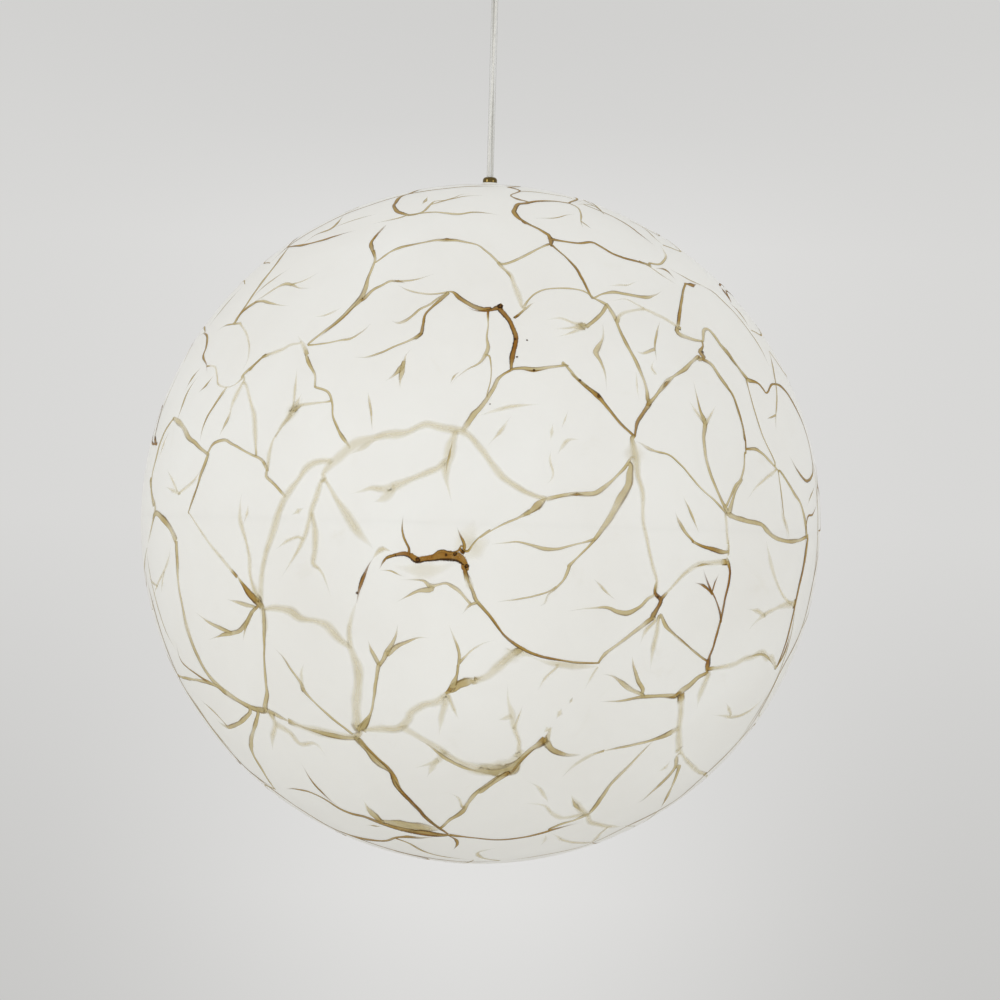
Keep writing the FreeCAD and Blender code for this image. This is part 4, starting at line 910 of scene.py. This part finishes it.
def add_spots(paint, layer):
    """Small near-black flecks of stain, as ragged discs."""
    radius = PAINT_RADIUS + layer * 0.0001 * MM
    for text in FLECKS.split():
        x, y, width = (float(number) for number in text.split(","))
        middle = on_globe(x, y)
        east = Vector((0, 0, 1)).cross(middle).normalized()
        north = middle.cross(east)
        centre = paint.add_vertex(GLOBE_CENTRE + middle * radius, 0.45, 1.15, 1.0, 0.0)
        rim = []
        for step in range(9):
            angle = FULL_TURN * step / 9
            reach = width * PIXEL * 0.75 * (1 + 0.45 * noise.noise(Vector((x, y, step * 1.7))))
            spot = middle * radius + (east * math.cos(angle) + north * math.sin(angle)) * reach
            rim.append(paint.add_vertex(GLOBE_CENTRE + spot.normalized() * radius, 0.9, 1.15, 1.0, 0.0))
        for step in range(9):
            paint.faces.append([centre, rim[step], rim[(step + 1) % 9]])


def unsquashed(width, x, y, along_x, along_y):
    """A width in the picture as a width on the globe, which partly makes up for the slant near the limb."""
    out_x, out_y = (x - GLOBE_PIXEL_X) / GLOBE_PIXEL_RADIUS, (y - GLOBE_PIXEL_Y) / GLOBE_PIXEL_RADIUS
    out, length = math.hypot(out_x, out_y), math.hypot(along_x, along_y)
    if out < 0.3 or length == 0:
        return width
    slant = math.sqrt(max(0.0, 1 - out * out))
    radial = (along_x * out_y - along_y * out_x) / (length * out)
    seen = math.sqrt((slant * radial)**2 + 1 - radial**2)
    return width / max(seen, 1 / MOST_SLANT) ** SLANT_SHARE


def read_stroke(width, text):
    """The directions and widths of a stroke, where a point may give its own width after its x and y."""
    points = [[float(number) for number in point.split(",")] for point in text.split()]
    controls, widths = [], []
    for index, (x, y, *own) in enumerate(points):
        before, after = points[max(index - 1, 0)], points[min(index + 1, len(points) - 1)]
        seen = own[0] if own else width
        controls.append(on_globe(x, y))
        wide = unsquashed(seen, x, y, after[0] - before[0], after[1] - before[1])
        widths.append((seen if seen < POINTED else wide) * PIXEL)
    return controls, widths


def front_strokes():
    """Every stroke of the photographed side, as (tone, directions, widths, which ends are joined)."""
    regions = (VEINS_TOP, VEINS_UPPER_LEFT, VEINS_CENTRE_LEFT, VEINS_LOWER_LEFT, VEINS_UPPER_RIGHT, VEINS_LOWER_RIGHT)
    strokes = [(tone, *read_stroke(width, text)) for region in regions for tone, width, text in region]
    return join_ends(strokes)


def join_ends(strokes):
    """Carry every end that stops just short of another stroke on to that stroke, and say what it blends into.

    A join is (tone, width) at the meeting point, and None stands for a free end. An end whose own width is under
    POINTED pixels stays free.
    """
    lines = [smooth_line(controls, widths, STEP_ALONG) for _, controls, widths in strokes]
    spots = [(point, width, other, place in (0, len(line) - 1))
             for other, line in enumerate(lines) for place, (point, width) in enumerate(line)]
    result = []
    for number, (tone, controls, widths) in enumerate(strokes):
        joins = []
        for place in (0, -1):
            end = controls[place]
            others = (spot for spot in spots if spot[2] != number and strokes[spot[2]][0] != SMOKE)
            nearest, width, other, at_end = min(others, key=lambda spot: (spot[0] - end).length_squared)
            gap = (nearest - end).length * GLOBE_RADIUS
            own, met = widths[place], strokes[other][0]
            if gap > JOIN_REACH or tone == SMOKE or own < POINTED * PIXEL:
                joins.append(None)
                continue
            if at_end:
                joins.append(((tone + met) / 2, (own + width) / 2))
            else:
                joins.append((met, min(own * 1.5, max(own, width))))
            if gap > MEET:
                extra = len(controls) if place else 0
                controls.insert(extra, nearest)
                widths.insert(extra, own)
        result.append((tone, controls, widths, joins))
    return result


BACK_SPREAD = 1.13
BACK_WAVE = 0.09
BACK_LIMIT = math.radians(94)
BACK_TURN = math.radians(160)
BRIDGED_FROM = math.radians(73)
BRIDGE_SPACING = 0.08
BRIDGE_DRIFT = 0.07
BRIDGE_WIDTH = 2.2 * PIXEL
POLE_CLEARANCE = 0.09


def to_back(direction):
    """Carry a direction of the front to the unseen side, where the pattern drifts away from its mirror image.

    The pattern is spread out from the middle of the back, so that it ends just behind the limb, and turned about
    that middle, so that no piece of it lies next to its own mirror image.
    """
    outward = Vector((direction.x, 0, direction.z)).normalized()
    spread = BACK_SPREAD + BACK_WAVE * noise.noise(outward * 4.0)
    angle = min(BACK_LIMIT, math.acos(max(-1.0, min(1.0, -direction.y))) * spread)
    back = Vector((0, math.cos(angle), 0)) + outward * math.sin(angle)
    depth = max(0.0, back.y) ** 0.8
    drift = noise.noise_vector(back * 1.7 + Vector((5, 2, 8))) * 0.55 * depth
    swirl = BACK_TURN + 0.5 * depth
    turned = back.copy()
    turned.x = back.x * math.cos(swirl) - back.z * math.sin(swirl)
    turned.z = back.x * math.sin(swirl) + back.z * math.cos(swirl)
    return (turned + drift).normalized()


def bridge_strokes(strokes):
    """Short strokes over the strip beyond the limb, from ends of the front's strokes to the nearest on the back."""
    rng = random.Random(23)
    ends = [controls[place] for _, controls, _, _ in strokes for place in (0, -1)]
    far_ends = [to_back(end) for end in ends if math.acos(-end.y) > BRIDGED_FROM]
    bridges = []
    for tone, controls, widths, _ in strokes:
        for place in (0, -1):
            near, own = controls[place], widths[place]
            taken = any((near - bridge[1][0]).length < BRIDGE_SPACING for bridge in bridges)
            if tone == SMOKE or taken or math.acos(-near.y) < BRIDGED_FROM:
                continue
            far = min(far_ends, key=lambda end: (end - near).length_squared)
            aside = near.cross(far).normalized() * rng.uniform(-BRIDGE_DRIFT, BRIDGE_DRIFT)
            bends = [(near.lerp(far, 0.35) + aside).normalized(), (near.lerp(far, 0.7) - aside * 0.4).normalized()]
            if min(math.hypot(bend.x, bend.y) for bend in bends) < POLE_CLEARANCE:
                continue
            bridges.append((tone, [near, *bends, far], [own, BRIDGE_WIDTH, BRIDGE_WIDTH, own], [(tone, own)] * 2))
    return bridges


def make_veins():
    globe_paint, lid_paint = Strokes(), Strokes()
    rng = random.Random(11)
    layer = 0
    for stroke in front_strokes():
        add_stroke(globe_paint, lid_paint, stroke, layer, rng)
        layer += 1
    for tone, controls, widths, joins in front_strokes():
        back = [to_back(direction) for direction in controls]
        add_stroke(globe_paint, lid_paint, (tone, back, widths, joins), layer, rng)
        layer += 1
    for stroke in bridge_strokes(front_strokes()):
        add_stroke(globe_paint, lid_paint, stroke, layer, rng)
        layer += 1
    add_spots(globe_paint, layer)
    globe_paint.build("veins", "globe")
    if lid_paint.faces:
        lid_paint.build("lid_veins", "lid_body")


# ---------------------------------------------------------------- cable and fitting

CABLE_DIAMETER = 0.006


def make_cord():
    """The clear cable: a straight run from the clamp in the canopy to the fitting on the globe."""
    low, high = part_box("flex_cable")
    levels = [high[2], high[2] * 0.6 + low[2] * 0.4, high[2] * 0.3 + low[2] * 0.7, low[2]]
    curve = bpy.data.curves.new("cable", "CURVE")
    curve.dimensions = "3D"
    spline = curve.splines.new("NURBS")
    spline.points.add(len(levels) - 1)
    for point, level in zip(spline.points, levels):
        point.co = (0, 0, level, 1)
    spline.order_u = 3
    spline.use_endpoint_u = True
    curve.bevel_depth = CABLE_DIAMETER / 2 - 0.02 * MM
    curve.bevel_resolution = 8
    curve.use_fill_caps = True
    curve.materials.append(MATERIALS["clear_cable"])
    cable = bpy.data.objects.new("cable", curve)
    bpy.context.collection.objects.link(cable)
    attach(cable, "drop")
    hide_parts("flex_cable")


def make_cores():
    """Two cores that wind slowly inside the clear sheath."""
    low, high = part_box("flex_cable")
    pitch, core, orbit = 0.42, 0.95 * MM, 1.35 * MM
    rings, sides = 120, 12
    for number, material in enumerate(("pale_core", "white_core")):
        points, faces = [], []
        for ring in range(rings + 1):
            z = low[2] + 0.5 * MM + (high[2] - low[2] - 1 * MM) * ring / rings
            angle = FULL_TURN * (z / pitch + 0.56) + math.pi * number
            middle = Vector((orbit * math.cos(angle), orbit * math.sin(angle), z))
            for side in range(sides):
                turn = FULL_TURN * side / sides
                points.append(middle + Vector((math.cos(turn), math.sin(turn), 0)) * core)
        for ring in range(rings):
            for side in range(sides):
                after = (side + 1) % sides
                base, top = ring * sides, (ring + 1) * sides
                faces.append([base + side, base + after, top + after, top + side])
        faces.append(list(range(sides))[::-1])
        faces.append(list(range(rings * sides, (rings + 1) * sides)))
        add_mesh(f"cable_core_{number + 1}", points, faces, material, "drop")


def make_grip():
    """The polished fitting on the pole of the globe, in brass darkened as a painted dark reflection, and the nylon
    washer under it.
    """
    low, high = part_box("cord_grip")
    radius, bore = high[0] - 0.02 * MM, CABLE_DIAMETER / 2 + 0.1 * MM
    rounding, chamfer = 3 * MM, 0.3 * MM
    outline = [(bore, high[2] - 0.15 * MM)]
    outline += arc(radius - rounding, high[2] - rounding - 0.02 * MM, rounding, 88, 0, 8)
    outline += [(radius, low[2] + chamfer), (radius - chamfer, low[2] + 0.02 * MM), (bore, low[2] + 0.02 * MM)]
    # The fitting's dark colour is painted reflection: brass darkened in place of the dark surroundings it would mirror.
    lathe("grip_cap", outline, "dark_metal", "globe", ["cord_grip"], 64)
    low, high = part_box("top_washer")
    radius, soft = high[0] - 0.02 * MM, 0.3 * MM
    outline = [(5.05 * MM, low[2]), (radius - soft, low[2]), (radius, low[2] + soft)]
    outline += [(radius, high[2] - soft), (radius - soft, high[2]), (5.05 * MM, high[2])]
    lathe("grip_washer", outline, "white_nylon", "globe", ["top_washer"], 64)


# ---------------------------------------------------------------- CAD nodes that keep their shape


def dress_nodes():
    """Give every CAD node that still shows the procedural material of its slot."""
    slots = {row["node"]: row["material_slot"] for row in frame["record"]["subparts"]}
    for name, node in frame["nodes"].items():
        material = MATERIALS[slots[name]]
        if node.material_slots:
            for slot in node.material_slots:
                slot.material = material
        else:
            node.data.materials.append(material)


# ---------------------------------------------------------------- room and light


def grey(level):
    """The backdrop's nearly neutral grey."""
    return linear(level, level - 0.5, level - 2)


def make_world():
    world = bpy.data.worlds.new("world")
    bpy.context.scene.world = world
    world.use_nodes = True
    tree = world.node_tree
    tree.nodes.clear()
    path = add_node(tree, "ShaderNodeLightPath")
    place = add_node(tree, "ShaderNodeTexCoord")
    split = add_node(tree, "ShaderNodeSeparateXYZ")
    tree.links.new(place.outputs["Generated"], split.inputs["Vector"])
    height = add_range(tree, split.outputs["Z"], -0.16, 0.16)
    # The backdrop that the camera and reflections see carries painted shade: darker towards the top and towards the
    # lower sides.
    middle = add_ramp(tree, height, (0.03, grey(218)), (0.11, grey(225)), (0.5, grey(225)), (0.81, grey(226)),
                      (0.91, grey(213)), (0.97, grey(209)))
    sides = add_ramp(tree, height, (0.03, grey(200)), (0.11, grey(203)), (0.3, grey(209)), (0.5, grey(216)),
                     (0.81, grey(216)), (0.91, grey(213)), (0.97, grey(210)))
    outward = add_range(tree, add_math(tree, "ABSOLUTE", split.outputs["X"]), 0.0, 0.13)
    shaded_backdrop = add_mix(tree, outward, middle, sides)
    seen = add_math(tree, "MAXIMUM", path.outputs["Is Camera Ray"], path.outputs["Is Glossy Ray"])
    seen = add_math(tree, "MAXIMUM", seen, path.outputs["Is Transmission Ray"])
    shown = add_node(tree, "ShaderNodeBackground")
    tree.links.new(shaded_backdrop, shown.inputs["Color"])
    lit = add_node(tree, "ShaderNodeBackground")
    lit.inputs["Color"].default_value = (1.0, 0.995, 0.98, 1)
    lit.inputs["Strength"].default_value = 0.87
    mix = add_node(tree, "ShaderNodeMixShader")
    tree.links.new(seen, mix.inputs["Fac"])
    tree.links.new(lit.outputs[0], mix.inputs[1])
    tree.links.new(shown.outputs[0], mix.inputs[2])
    out = add_node(tree, "ShaderNodeOutputWorld")
    tree.links.new(mix.outputs[0], out.inputs["Surface"])


def add_lamp(name, place, side, power):
    data = bpy.data.lights.new(name, "AREA")
    data.shape = "SQUARE"
    data.size = side
    data.energy = power
    lamp = bpy.data.objects.new(name, data)
    lamp.location = place
    lamp.rotation_euler = (GLOBE_CENTRE - Vector(place)).to_track_quat("-Z", "Y").to_euler()
    bpy.context.collection.objects.link(lamp)


def make_room():
    make_world()
    add_lamp("key_light", (-2.6, -2.2, 0.6), 1.1, 14)
    add_lamp("fill_light", (2.8, -2.0, 0.0), 1.1, 9.5)
    add_lamp("low_light", (-0.3, -1.9, -2.2), 0.9, 7)
    floor_level, reach = -6.0, 30.0
    mesh = bpy.data.meshes.new("floor")
    corners = [(-reach, -reach, floor_level), (reach, -reach, floor_level), (reach, reach, floor_level),
               (-reach, reach, floor_level)]
    mesh.from_pydata(corners, [], [(0, 1, 2, 3)])
    material, tree, shader = new_material("floor")
    cloud = add_noise(tree, 0.8, 3.0)
    colour = add_ramp(tree, cloud, (0.3, linear(222, 221, 218)), (0.7, linear(226, 225, 222)))
    tree.links.new(colour, shader.inputs["Base Color"])
    shader.inputs["Roughness"].default_value = 0.8
    mesh.materials.append(material)
    floor = bpy.data.objects.new("floor", mesh)
    bpy.context.collection.objects.link(floor)
    bpy.context.scene.view_settings.view_transform = "Standard"


make_camera()
make_materials()
make_cord()
make_cores()
make_globe()
make_veins()
make_grip()
dress_nodes()
make_room()
